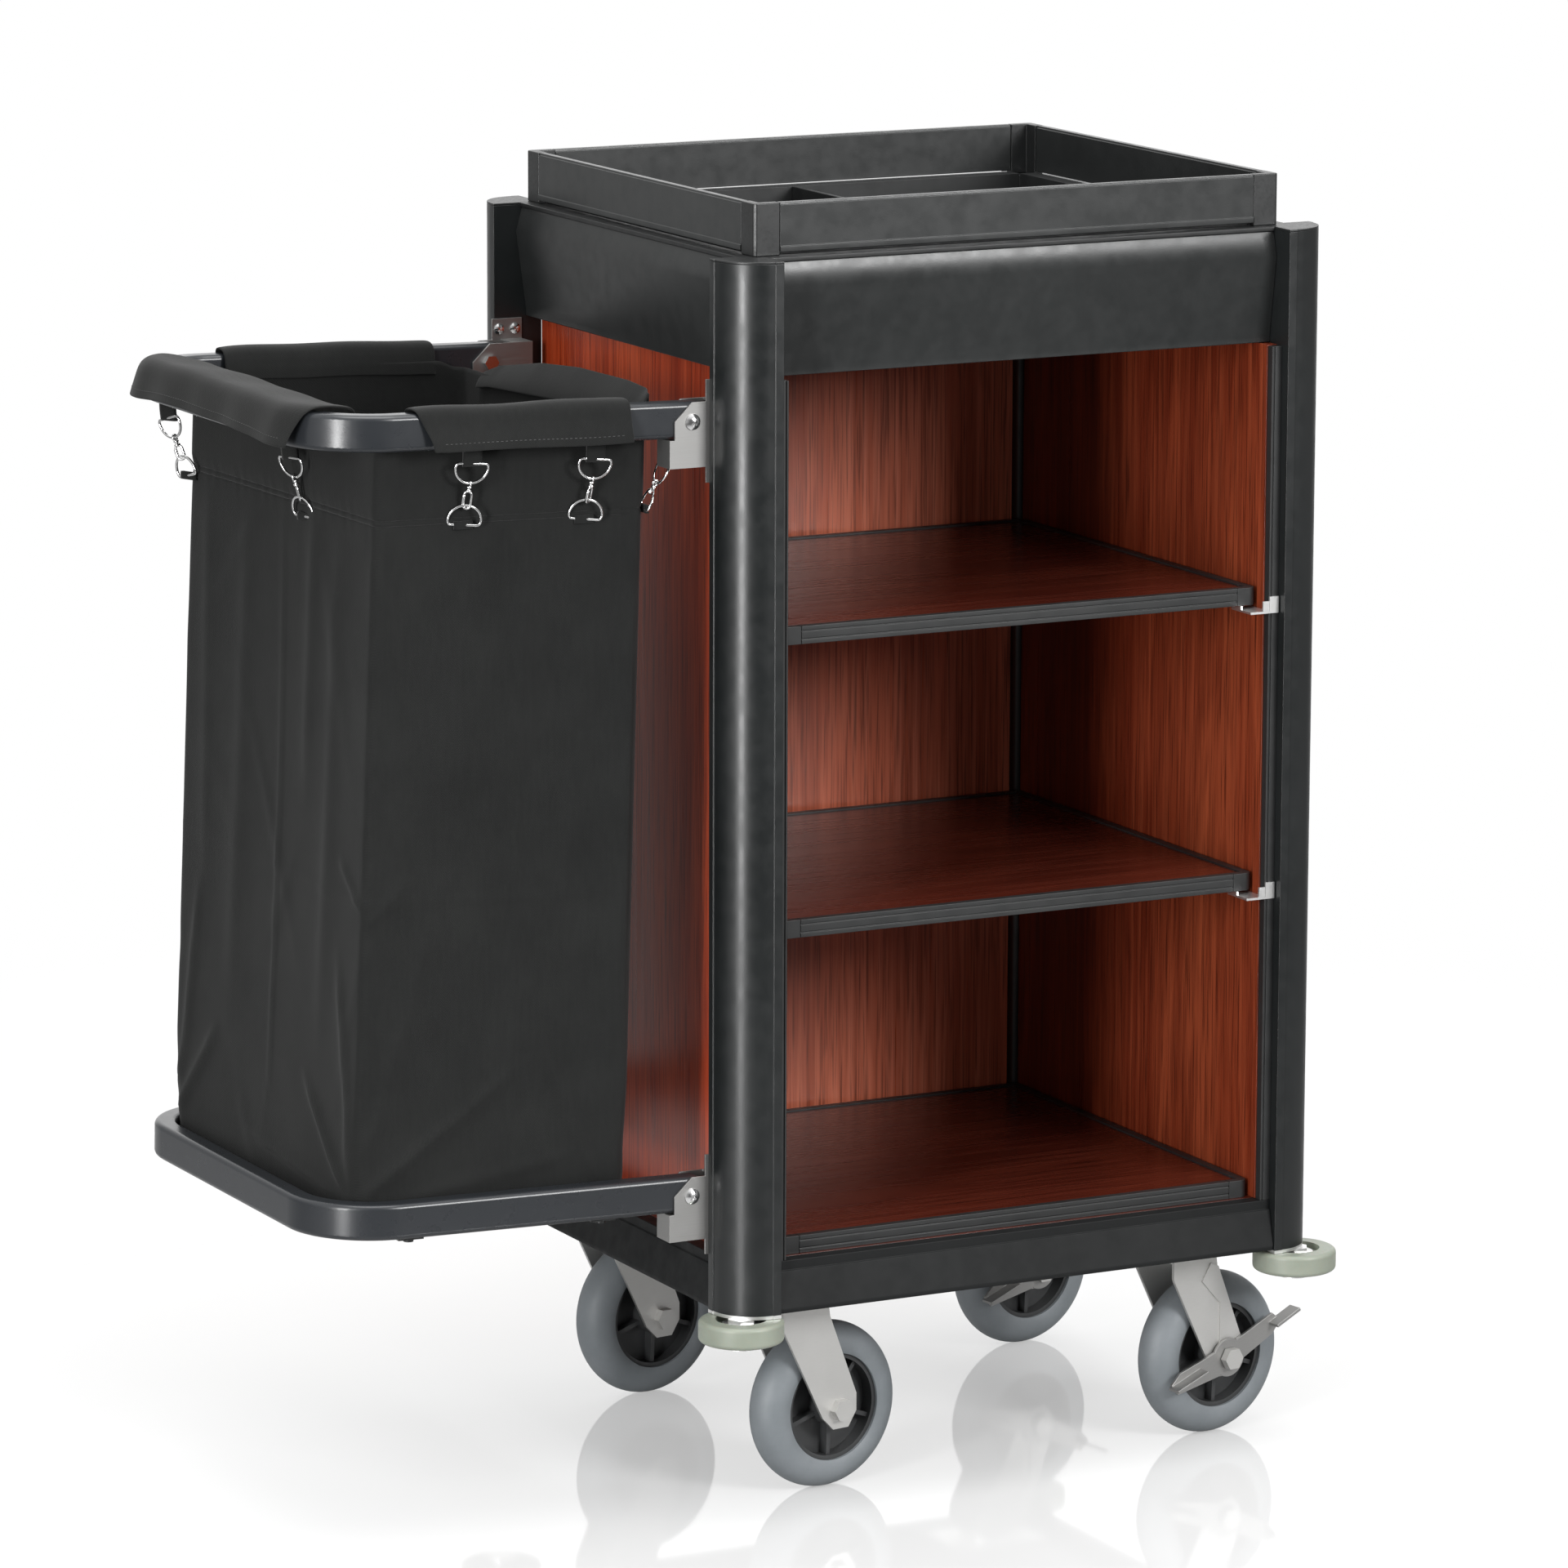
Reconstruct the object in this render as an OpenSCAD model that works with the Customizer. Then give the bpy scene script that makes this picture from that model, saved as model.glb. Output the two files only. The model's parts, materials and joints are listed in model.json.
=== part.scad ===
/* [Cabinet] */
// Length over the outer faces of the corner posts
cabinet_l = 600; // [500:10:900]
// Width over the outer faces of the corner posts
cabinet_w = 530; // [420:10:700]
// Length of the corner posts
post_h = 930; // [775:10:1150]
// Side of the square that a corner post fills
post_w = 48; // [40:1:60]
// Wall of the post extrusion
post_wall = 2.5; // [2:0.5:4]
// Flat strip on each side of the post's round face
post_strip = 8; // [5:1:12]
// Thickness of the caps on top of the posts
cap_t = 2; // [1:0.5:4]
// Thickness of the steel feet under the posts
foot_t = 3; // [2:0.5:6]

/* [Top tray] */
// Distance of the tray rim behind the post faces
tray_inset = 38; // [35:1:60]
// Height of the tray rim
tray_h = 43; // [30:1:80]
// Thickness of the tray rim panels
tray_wall = 8; // [6:1:12]
// Side of the tray corner pieces
tray_corner = 25; // [20:1:35]
// Gap between the tray rim and the top frame
tray_gap = 3; // [2:0.5:6]
// Thickness of the top frame that carries the tray
top_t = 4; // [3:0.5:6]
// Depth of the sunken bin
bin_depth = 84; // [40:1:90]
// Wall of the sunken bin
bin_wall = 2.5; // [2:0.5:4]
// Width of the rim that the bin hangs by
bin_rim = 14; // [10:1:20]
// Distance of the divider from the middle, towards the open end
divider_shift = 0; // [-100:5:100]

/* [Fascia] */
// Height of the fascia panels
fascia_h = 100; // [90:1:140]
// Height of the sloping shoulder above the fascia's ridge
fascia_shoulder = 22; // [10:1:30]
// Depth of the fascia's top edge behind the post faces
fascia_top_in = 28; // [24:1:34]
// Depth of the fascia's ridge behind the post faces
fascia_ridge_in = 22; // [18:1:24]
// Depth of the fascia's lower edge behind the post faces
fascia_low_in = 32; // [28:1:36]
// Sheet thickness of the fascia and base rails
sheet = 2.5; // [2:0.5:4]
// Width of the lip along the fascia's lower edge
fascia_lip = 6; // [4:1:10]

/* [Panels and shelves] */
// Thickness of the laminate panels
panel_t = 10; // [8:1:16]
// Depth of the panels' front edge behind the post faces
panel_front = 20; // [18:1:30]
// Depth of the metal strip on the panels' front edge
strip_d = 8; // [5:1:10]
// Gap between the strip and the panel
strip_gap = 1.5; // [1:0.5:3]
// Side of the profile in the rear inner corners
corner_profile = 8; // [5:1:12]
// Height of the shelf edge trim
trim_h = 16; // [14:1:20]
// Width of the shelf edge trim
trim_w = 8; // [5:1:12]
// Thickness of the shelf boards
board_t = 11; // [8:1:13]
// Gap between a shelf and the panels
shelf_gap = 2; // [1:0.5:4]
// Side of the shelf's corner pieces
shelf_corner = 20; // [15:1:30]
// Clear height of the lowest shelf bay
bay_low = 269; // [200:1:320]
// Clear height of the middle shelf bay
bay_mid = 245; // [200:1:320]
// Width of the shelf clips
clip_w = 18; // [12:1:24]
// Thickness of the shelf clips
clip_t = 2; // [1.5:0.5:3]

/* [Base] */
// Height of the base rails
rail_h = 46; // [40:1:70]
// Height of the ledge along the top of a base rail
rail_ledge = 9; // [6:1:14]
// Depth of the base rail's ledge behind the post faces
rail_top_in = 10; // [6:1:20]
// Depth of the base rail's foot behind the post faces
rail_low_in = 2; // [0:1:6]
// Width of the base rail's ledge and return
rail_return = 24; // [16:1:30]
// Thickness of the base deck
deck_t = 10; // [8:1:18]
// Width of the cross beams over the casters
beam_w = 96; // [80:1:120]

/* [Bag frame] */
// Distance the bag loops reach out from the post faces
loop_reach = 370; // [320:5:460]
// Angle that the bag loops rise towards their outer end
loop_tilt = 1.3; // [0:0.1:2]
// Height of the loop bar
bar_h = 32; // [26:1:40]
// Thickness of the loop bar
bar_t = 20; // [14:1:26]
// Rounding of the loop bar's edges
bar_r = 5; // [3:0.5:6]
// Outer radius of the loop corners
loop_r = 75; // [60:1:110]
// Height of the upper loop's pivot above the post feet
upper_pivot = 791; // [650:1:795]
// Height of the lower loop's pivot above the post feet
lower_pivot = 104; // [90:1:160]
// Distance of the pivots out from the post faces
pivot_out = 16; // [14:1:24]
// Radius of the pivot screws
pivot_r = 4; // [3:0.5:5]
// Sheet thickness of the brackets
bracket_t = 2; // [1.5:0.5:3]
// Height of the brackets' screw tabs
tab_h = 19; // [14:1:19]
// Thickness of the bag's floor plate
floor_t = 2; // [1.5:0.5:4]

/* [Bag] */
// Distance of the bag's outer side from the loop's reach
bag_out_in = 42; // [25:1:60]
// Distance of the bag's inner side from the post faces
bag_side_in = 52; // [45:1:80]
// Gap between the bag and the loop's arms
bag_arm_gap = 7; // [2:1:30]
// Thickness of the bag's wall
bag_wall = 3; // [2:0.5:5]
// Radius of the bag's upright corners
bag_r = 40; // [36:1:50]
// Height that the flaps hang down outside the bar
flap_h = 34; // [28:1:60]
// Distance of the flaps out from the bar
flap_out = 8; // [6:1:14]
// Length of the flaps on the loop's arms
flap_l = 190; // [120:5:200]

/* [Casters and bumpers] */
// Wheel diameter
wheel_d = 152; // [100:1:200]
// Tread width
wheel_w = 40; // [28:1:50]
// Distance of the axle behind the swivel axis
trail = 38; // [25:1:50]
// Angle that the casters are turned to at rest
swivel = 10; // [0:1:30]
// Room between the wheel and the cabinet's underside
caster_room = 38; // [34:1:60]
// Distance of the caster pivots from the cabinet's short faces
caster_in_x = 100; // [90:1:160]
// Distance of the caster pivots from the cabinet's long faces
caster_in_y = 88; // [80:1:140]
// Axle radius
axle_r = 6; // [5:0.5:7]
// Diameter of the bumper rollers
bumper_d = 76; // [60:1:100]
// Height of the bumper rollers
bumper_h = 20; // [14:1:24]
// Distance of the bumper axes from the post faces
bumper_in = 17; // [14:1:24]

/* [Hidden] */
$fn = 64;
eps = 0.05;
run_gap = 0.05;
safe_gap = 0.4;

// colours
black = "#303233";
black_plastic = "#232425";
laminate = "#7a3a22";
steel = "#b9b6b0";
bright = "#d9d9da";
cloth = "#2c2e2d";

// heights
caster_h = wheel_d + caster_room;
post_z = caster_h;
post_top = post_z + post_h;
fascia_top = post_top - cap_t;
deck_top = post_z + rail_h;
bottom_shelf_z = deck_top;
middle_shelf_z = bottom_shelf_z + trim_h + bay_low;
upper_shelf_z = middle_shelf_z + trim_h + bay_mid;
top_z = fascia_top + top_t;
tray_z = top_z + tray_gap;
upper_pivot_z = post_z + upper_pivot;
lower_pivot_z = post_z + lower_pivot;
// the bar's underside and top, measured from its pivot
bar_low = -bar_h / 2 + 1;
bar_high = bar_low + bar_h;
bracket_low = bar_low - 25;
wheel_r = wheel_d / 2;

// places across the cabinet
inner_l = cabinet_l - 2 * post_w;
inner_w = cabinet_w - 2 * post_w;
arm_y = post_w + bracket_t + 0.5;
bag_x0 = -(loop_reach - bag_out_in);
bag_x1 = -bag_side_in;
bag_y = arm_y + bar_t + bag_arm_gap;
bag_w = cabinet_w - 2 * bag_y;
bag_z = lower_pivot_z + bar_low + floor_t + 7;
bag_top = upper_pivot_z + bar_high + safe_gap;
flap_t = 2;
flap_x = -(loop_reach + flap_out);
bumper_reach = bumper_d / 2 - bumper_in;
// the middle of the whole cart's outline
mid_x = (cabinet_l + bumper_reach + flap_x) / 2;
mid_y = cabinet_w / 2;

CORNERS = ["fl", "fr", "bl", "br"];
function right(i) = i == 1 || i == 3;
function back(i) = i > 1;

module cart_frame() {
    translate([-mid_x, -mid_y, 0])
    children();
}

// turns a shape drawn for the front left corner into the one for corner i
module at_corner(i) {
    translate([right(i) ? cabinet_l : 0, back(i) ? cabinet_w : 0, 0])
    mirror([right(i) ? 1 : 0, 0, 0])
    mirror([0, back(i) ? 1 : 0, 0])
    children();
}

// turns a run drawn along the front side into the one for side s
module at_side(s) {
    if (s == "front") children();
    if (s == "back") translate([0, cabinet_w, 0]) mirror([0, 1, 0]) children();
    if (s == "left") mirror([1, -1, 0]) children();
    if (s == "right") translate([cabinet_l, 0, 0]) mirror([1, 0, 0]) mirror([1, -1, 0]) children();
}

function side_length(s) = s == "front" || s == "back" ? cabinet_l : cabinet_w;

// extrudes a depth-height outline along a side from one distance to another
module run(from, to) {
    translate([from, 0, 0])
    rotate([90, 0, 90])
    linear_extrude(to - from)
    children();
}

module box(low, high) {
    translate(low)
    cube(high - low);
}

module rounded(w, h, r) {
    translate([-w / 2 + r, -h / 2]) square([w - 2 * r, h]);
    translate([-w / 2, -h / 2 + r]) square([w, h - 2 * r]);
    for (x = [-1, 1], y = [-1, 1])
        translate([x * (w / 2 - r), y * (h / 2 - r)])
        circle(r);
}

// ---- corner posts ----

// the post's outline with its round face towards the outside, shrunk by a wall
module post_outline(wall = 0) {
    arc_r = post_w - post_strip - 1;
    middle = post_w - post_strip;
    intersection() {
        translate([middle, middle]) circle(arc_r - wall, $fn = 96);
        translate([0, 0]) square(middle);
    }
    translate([middle - eps, wall]) square([post_strip - wall + eps, post_w - 2 * wall]);
    translate([wall, middle - eps]) square([post_w - 2 * wall, post_strip - wall + eps]);
}

module post(i) {
    color(black)
    cart_frame()
    at_corner(i)
    translate([0, 0, post_z])
    linear_extrude(post_h)
    difference() {
        post_outline();
        post_outline(post_wall);
    }
}

module post_caps() {
    color(black_plastic)
    cart_frame()
    for (i = [0:3])
        at_corner(i)
        translate([0, 0, post_top])
        linear_extrude(cap_t)
        post_outline();
}

// steel feet that close the posts and carry the bumper bolts
module post_feet() {
    color(steel)
    cart_frame()
    for (i = [0:3])
        at_corner(i) {
            translate([0, 0, post_z - foot_t])
            linear_extrude(foot_t)
            post_outline();
            translate([bumper_in, bumper_in, 0])
            bumper_bolt();
        }
}

bolt_r = 8;
roller_top = post_z - foot_t - safe_gap;
roller_low = roller_top - bumper_h;
recess_r = 23;
recess_d = 6;

module bumper_bolt() {
    translate([0, 0, roller_low - 6])
    cylinder(r = bolt_r, h = post_z - foot_t - roller_low + 6);
    translate([0, 0, roller_low - 6])
    cylinder(r = 15, h = 6 - safe_gap);
    translate([0, 0, roller_top - recess_d + safe_gap])
    cylinder(r = 17, h = 2);
    translate([0, 0, roller_top - recess_d + safe_gap])
    cylinder(r = 13, h = post_z - foot_t - roller_top + recess_d - safe_gap, $fn = 6);
}

// ---- fascia panels under the tray ----

module fascia(s) {
    top = fascia_top;
    ridge = top - fascia_shoulder;
    low = top - fascia_h;
    color(black)
    cart_frame()
    at_side(s)
    run(post_w, side_length(s) - post_w)
    polygon([[fascia_top_in, top], [fascia_ridge_in, ridge], [fascia_low_in, low + fascia_lip],
        [fascia_low_in, low], [fascia_low_in + fascia_lip + sheet, low],
        [fascia_low_in + fascia_lip + sheet, low + sheet], [fascia_low_in + sheet, low + sheet],
        [fascia_low_in + sheet, low + fascia_lip], [fascia_ridge_in + sheet, ridge],
        [fascia_top_in + sheet, top]]);
}

// ---- top frame, tray rim and sunken bin ----

bin_x = post_w + panel_t + 2;
bin_x1 = cabinet_l - bin_x;
bin_y = post_w + panel_t + 2;
bin_y1 = cabinet_w - bin_y;
bin_low = top_z - bin_depth;

module top_frame() {
    edge = fascia_top_in - 2;
    color(black)
    cart_frame()
    difference() {
        box([edge, edge, fascia_top], [cabinet_l - edge, cabinet_w - edge, top_z]);
        for (i = [0:3])
            at_corner(i)
            box([0, 0, fascia_top - 1], [post_w + 0.2, post_w + 0.2, top_z + 1]);
        box([bin_x - eps, bin_y - eps, fascia_top - 1], [bin_x1 + eps, bin_y1 + eps, top_z + 1]);
    }
}

// a rim panel with a bead along its top edge and a rounded flange along its foot
module tray_panels() {
    low = tray_z;
    high = tray_z + tray_h;
    color(black)
    cart_frame()
    for (s = ["front", "back", "left", "right"])
        at_side(s)
        run(tray_inset + tray_corner + 0.3, side_length(s) - tray_inset - tray_corner - 0.3) {
            translate([tray_inset, low]) square([tray_wall, tray_h - 2]);
            translate([tray_inset + 1, high - 2 - eps]) square([tray_wall - 2, 2 + eps]);
            translate([tray_inset - 1, low]) square([3, 5]);
        }
}

module tray_corners() {
    color(black_plastic)
    cart_frame()
    for (i = [0:3])
        at_corner(i)
        translate([tray_inset, tray_inset, top_z])
        linear_extrude(tray_h + tray_gap)
        difference() {
            polygon([[2.5, 0], [tray_corner, 0], [tray_corner, tray_corner], [0, tray_corner], [0, 2.5]]);
            translate([tray_wall + 1, tray_wall + 1]) square(tray_corner);
        }
}

module tray_bin() {
    color(black_plastic)
    cart_frame()
    difference() {
        union() {
            box([bin_x, bin_y, bin_low], [bin_x1, bin_y1, top_z + 0.5]);
            box([bin_x - bin_rim, bin_y - bin_rim, top_z], [bin_x1 + bin_rim, bin_y1 + bin_rim, top_z + 2]);
        }
        box([bin_x + bin_wall, bin_y + bin_wall, bin_low + bin_wall],
            [bin_x1 - bin_wall, bin_y1 - bin_wall, top_z + 3]);
        for (i = [0:3])
            at_corner(i)
            translate([tray_inset, tray_inset, top_z])
            cube([tray_corner + 0.3, tray_corner + 0.3, 4]);
    }
}

divider_x = cabinet_l / 2 - divider_shift;

module tray_divider() {
    color(black_plastic)
    cart_frame()
    box([divider_x - bin_wall, bin_y + bin_wall + 0.2, bin_low + bin_wall],
        [divider_x + bin_wall, bin_y1 - bin_wall - 0.2, top_z + 2]);
}

// ---- laminate panels ----

panel_top = fascia_top;
back_y = cabinet_w - post_w - panel_t;

// an end panel, notched where the front fascia passes it
module side_panel(i) {
    notch_y = fascia_low_in + fascia_lip + sheet + 0.5;
    notch_z = fascia_top - fascia_h - 0.5;
    color(laminate)
    cart_frame()
    at_corner(i)
    difference() {
        box([post_w, panel_front, deck_top], [post_w + panel_t, cabinet_w - post_w, panel_top]);
        box([0, 0, notch_z], [post_w + panel_t + 1, notch_y, panel_top + 1]);
    }
}

module back_panel() {
    color(laminate)
    cart_frame()
    box([post_w + panel_t, back_y, deck_top], [cabinet_l - post_w - panel_t, back_y + panel_t, panel_top]);
}

strip_y = panel_front - strip_gap - strip_d;

// metal strips that edge the side panels, with a groove along the front
module panel_strips() {
    color(black)
    cart_frame()
    for (i = [0, 1])
        at_corner(i)
        difference() {
            box([post_w, strip_y, deck_top], [post_w + panel_t, strip_y + strip_d, fascia_top - fascia_h - 1]);
            box([post_w + panel_t - 3.2, strip_y - 1, deck_top - 1],
                [post_w + panel_t - 2, strip_y + 1.2, panel_top]);
        }
}

module corner_profiles() {
    color(black)
    cart_frame()
    for (i = [0, 1])
        at_corner(i)
        translate([post_w + panel_t, back_y, deck_top])
        linear_extrude(bin_low - 1 - deck_top)
        intersection() {
            circle(corner_profile);
            translate([0, -corner_profile]) square(corner_profile);
        }
}

// ---- shelves ----

shelf_x = post_w + panel_t + shelf_gap;
shelf_y = panel_front + 8;
shelf_y1 = back_y - corner_profile - shelf_gap;

module shelf_board(z) {
    color(laminate)
    cart_frame()
    box([shelf_x + trim_w, shelf_y + trim_w, z + (trim_h - board_t) / 2],
        [cabinet_l - shelf_x - trim_w, shelf_y1 - trim_w, z + (trim_h + board_t) / 2 + 1]);
}

// four edge bars with a groove along their outer face, and four rounded corner pieces
module shelf_trim(z) {
    l = cabinet_l - 2 * shelf_x;
    w = shelf_y1 - shelf_y;
    color(black)
    cart_frame()
    translate([shelf_x, shelf_y, z]) {
        for (m = [0, 1])
            translate([0, m * w, 0])
            mirror([0, m, 0])
            run(shelf_corner + 0.3, l - shelf_corner - 0.3)
            trim_section();
        for (m = [0, 1])
            translate([m * l, 0, 0])
            mirror([m, 0, 0])
            mirror([1, -1, 0])
            run(shelf_corner + 0.3, w - shelf_corner - 0.3)
            trim_section();
        for (m = [0, 1], n = [0, 1])
            translate([m * l, n * w, 0])
            mirror([m, 0, 0])
            mirror([0, n, 0])
            linear_extrude(trim_h)
            difference() {
                union() {
                    translate([trim_w, trim_w]) circle(trim_w);
                    translate([trim_w, 0]) square([shelf_corner - trim_w, shelf_corner]);
                    translate([0, trim_w]) square([shelf_corner, shelf_corner - trim_w]);
                }
                translate([trim_w, trim_w]) square(shelf_corner);
            }
    }
}

module trim_section() {
    difference() {
        square([trim_w, trim_h]);
        translate([-1, trim_h - 5]) square([1.8, 1.2]);
        translate([-1, 3.8]) square([1.8, 1.2]);
    }
}

// a stepped clip that hooks round the right panel strip, and plain ones under the other corners
module shelf_clips(z) {
    front = strip_y - safe_gap - clip_t;
    color(steel)
    cart_frame()
    at_corner(1) {
        box([shelf_x - shelf_gap + safe_gap, front, z - 3 - clip_t], [shelf_x + clip_w, shelf_y + 14, z - 3]);
        box([shelf_x + clip_w - clip_t, shelf_y - 2, z - 3], [shelf_x + clip_w, shelf_y + 14, z]);
        box([post_w + 1, front, z - 3 - clip_t], [shelf_x - shelf_gap + safe_gap + eps, front + clip_t, z + 10]);
        box([shelf_x - 1.2, front, z - 3 - eps], [shelf_x + 5, front + clip_t, z + 6]);
    }
    color(steel)
    cart_frame()
    for (place = [[0, shelf_y + 62], [0, shelf_y1 - clip_w - 6], [1, shelf_y1 - clip_w - 6]])
        translate([place[0] * cabinet_l, place[1], 0])
        mirror([place[0], 0, 0])
        box([shelf_x + 2, 0, z - 3 - clip_t], [shelf_x + clip_w, clip_w + 4, z]);
}

// ---- base ----

module base_rails() {
    low = post_z;
    top = deck_top;
    color(black)
    cart_frame()
    for (s = ["front", "back", "left", "right"])
        at_side(s)
        run(post_w, side_length(s) - post_w)
        polygon([[rail_top_in, top], [rail_top_in, top - rail_ledge], [rail_top_in - 1.5, top - rail_ledge],
            [rail_low_in, low + 5], [rail_low_in + 1, low], [rail_return, low], [rail_return, low + sheet],
            [rail_low_in + sheet + 1, low + sheet], [rail_low_in + sheet + 1, low + 5],
            [rail_top_in + sheet, top - rail_ledge - sheet], [rail_top_in + sheet, top - sheet],
            [rail_return, top - sheet], [rail_return, top]]);
}

// channels under the deck that the casters bolt to
module base_beams() {
    color(black)
    cart_frame()
    for (m = [0, 1])
        translate([m * cabinet_l, 0, 0])
        mirror([m, 0, 0])
        difference() {
            box([caster_in_x - beam_w / 2, rail_return, post_z],
                [caster_in_x + beam_w / 2, cabinet_w - rail_return, deck_top - deck_t]);
            box([caster_in_x - beam_w / 2 + sheet, 0, post_z + sheet],
                [caster_in_x + beam_w / 2 - sheet, cabinet_w, deck_top]);
        }
}

module base_deck() {
    color(laminate)
    cart_frame()
    difference() {
        box([rail_return, rail_return, deck_top - deck_t],
            [cabinet_l - rail_return, cabinet_w - rail_return, deck_top]);
        for (i = [0:3])
            at_corner(i)
            box([0, 0, post_z], [post_w + 0.2, post_w + 0.2, deck_top + 1]);
    }
}

// ---- bag frame ----

// one bracket, drawn for the front; x and z are measured from the pivot
bracket_tail = pivot_out + 27;
bracket_nose = -22;
tab_x = pivot_out - 3;
stop_top = bar_low - safe_gap;

module bracket_place(z, m) {
    cart_frame()
    translate([-pivot_out, m * cabinet_w, z])
    mirror([0, m, 0])
    translate([0, post_w, 0])
    children();
}

// extrudes an outline in the side plane, from one depth to another
module side_plate(y0, y1) {
    translate([0, y1, 0])
    rotate([90, 0, 0])
    linear_extrude(y1 - y0)
    children();
}

module cheek_outline() {
    polygon([[bracket_nose, bracket_low], [bracket_tail, bracket_low], [bracket_tail, bar_high],
        [0, bar_high], [bracket_nose + 5, 1], [bracket_nose + 5, stop_top], [bracket_nose, stop_top]]);
}

bracket_w = bar_t + 1 + 2 * bracket_t;
tab_screws = [[tab_x + 7, bar_high + tab_h / 2], [tab_x + 23, bar_high + tab_h / 2],
    [tab_x + 15, bracket_low - 7]];

module bracket(z, m) {
    color(steel)
    bracket_place(z, m) {
        difference() {
            union() {
                side_plate(0, bracket_t) {
                    cheek_outline();
                    translate([tab_x, bracket_low - 14]) square([30, tab_h + 14 + bar_high - bracket_low]);
                }
                side_plate(bracket_w - bracket_t, bracket_w) cheek_outline();
                box([bracket_nose, 0, bracket_low], [bracket_nose + bracket_t, bracket_w, stop_top]);
                box([pivot_out + 6, 0, bar_high - bracket_t], [bracket_tail, bracket_w, bar_high]);
            }
            rotate([-90, 0, 0])
            translate([0, 0, -1])
            cylinder(r = pivot_r + 0.02, h = bracket_w + 2);
            for (p = tab_screws)
                translate([p[0], -1, p[1]])
                rotate([-90, 0, 0])
                cylinder(r = 2.52, h = bracket_t + 2);
        }
    }
}

// pan head with a cross recess, its shank along +Y from the origin
module cross_screw(head_r, head_h, shank_r, shank_l) {
    difference() {
        rotate([90, 0, 0])
        intersection() {
            cylinder(r = head_r, h = head_h);
            translate([0, 0, head_h - head_r * 1.6]) sphere(head_r * 1.6);
        }
        for (a = [45, 135])
            translate([0, -head_h, 0])
            rotate([0, a, 0])
            cube([head_r * 1.1, head_h * 0.9, head_r * 0.22], center = true);
    }
    translate([0, -eps, 0])
    rotate([-90, 0, 0])
    cylinder(r = shank_r, h = shank_l + eps);
}

module bracket_screws() {
    color(bright)
    for (z = [upper_pivot_z, lower_pivot_z], m = [0, 1])
        bracket_place(z, m) {
            cross_screw(7, 3.5, pivot_r, bracket_w + 5);
            translate([0, bracket_w, 0])
            rotate([-90, 0, 0])
            cylinder(r = 7, h = 5, $fn = 6);
            for (p = tab_screws)
                translate([p[0], bracket_t, p[1]])
                mirror([0, 1, 0])
                cross_screw(5, 2.6, 2.5, bracket_t);
        }
}

// turns its children about a loop's pivot, outer end up
module tilted(z) {
    cart_frame()
    translate([-pivot_out, 0, z])
    rotate([0, loop_tilt, 0])
    translate([pivot_out, 0, -z])
    children();
}

// the U-shaped bar, with a running bore at each pivot
module bag_loop(z) {
    end_x = -pivot_out + 18;
    turn_x = -loop_reach + loop_r;
    middle_r = loop_r - bar_t / 2;
    tilted(z)
    translate([0, 0, z + (bar_low + bar_high) / 2])
    difference() {
        union() {
            for (m = [0, 1])
                translate([0, m * cabinet_w, 0])
                mirror([0, m, 0]) {
                    translate([0, arm_y + bar_t / 2, 0])
                    run(turn_x, end_x)
                    rounded(bar_t, bar_h, bar_r);
                    translate([turn_x, arm_y + loop_r, 0])
                    rotate([0, 0, 180])
                    rotate_extrude(angle = 90, $fn = 96)
                    translate([middle_r, 0])
                    rounded(bar_t, bar_h, bar_r);
                }
            translate([-loop_reach + bar_t / 2, arm_y + loop_r, 0])
            rotate([-90, 0, 0])
            linear_extrude(cabinet_w - 2 * arm_y - 2 * loop_r)
            rounded(bar_t, bar_h, bar_r);
        }
        for (m = [0, 1])
            translate([0, m * cabinet_w, 0])
            mirror([0, m, 0]) {
                translate([-pivot_out, arm_y - 1, -(bar_low + bar_high) / 2])
                rotate([-90, 0, 0])
                cylinder(r = pivot_r + run_gap, h = bar_t + 2);
                translate([end_x - 12, arm_y - 1, bar_h / 2])
                rotate([0, 45, 0])
                cube([30, bar_t + 2, 30]);
                translate([-pivot_out - 62, arm_y + bar_t / 2, 0])
                rotate([-90, 0, 0])
                cylinder(r = 3, h = bar_t);
            }
    }
}

module upper_loop() {
    color(black)
    bag_loop(upper_pivot_z);
}

module lower_loop() {
    color(black)
    bag_loop(lower_pivot_z);
}

// plate inside the lower loop, on four lugs screwed under the bar
module bag_floor() {
    low = lower_pivot_z + bar_low;
    inner_r = loop_r - bar_t;
    x0 = -loop_reach + bar_t + 0.2;
    x1 = bag_x1 - 6;
    y0 = arm_y + bar_t + 0.2;
    color(black)
    tilted(lower_pivot_z) {
        difference() {
            box([x0, y0, low], [x1, cabinet_w - y0, low + floor_t]);
            for (m = [0, 1])
                translate([0, m * cabinet_w, 0])
                mirror([0, m, 0])
                difference() {
                    box([x0 - 1, y0 - 1, low - 1], [x0 + inner_r, y0 + inner_r, low + floor_t + 1]);
                    translate([x0 + inner_r, y0 + inner_r, low - 2])
                    cylinder(r = inner_r, h = floor_t + 4);
                }
        }
        for (x = [-loop_reach + loop_r + 12, x1 - 40], m = [0, 1])
            translate([x, m * cabinet_w, 0])
            mirror([0, m, 0]) {
                box([-12, y0 - 14, low - floor_t], [12, y0 + 12, low]);
                translate([0, y0 - 8, low - floor_t - 2.4])
                cylinder(r = 4.5, h = 2.4);
            }
    }
}

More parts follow.
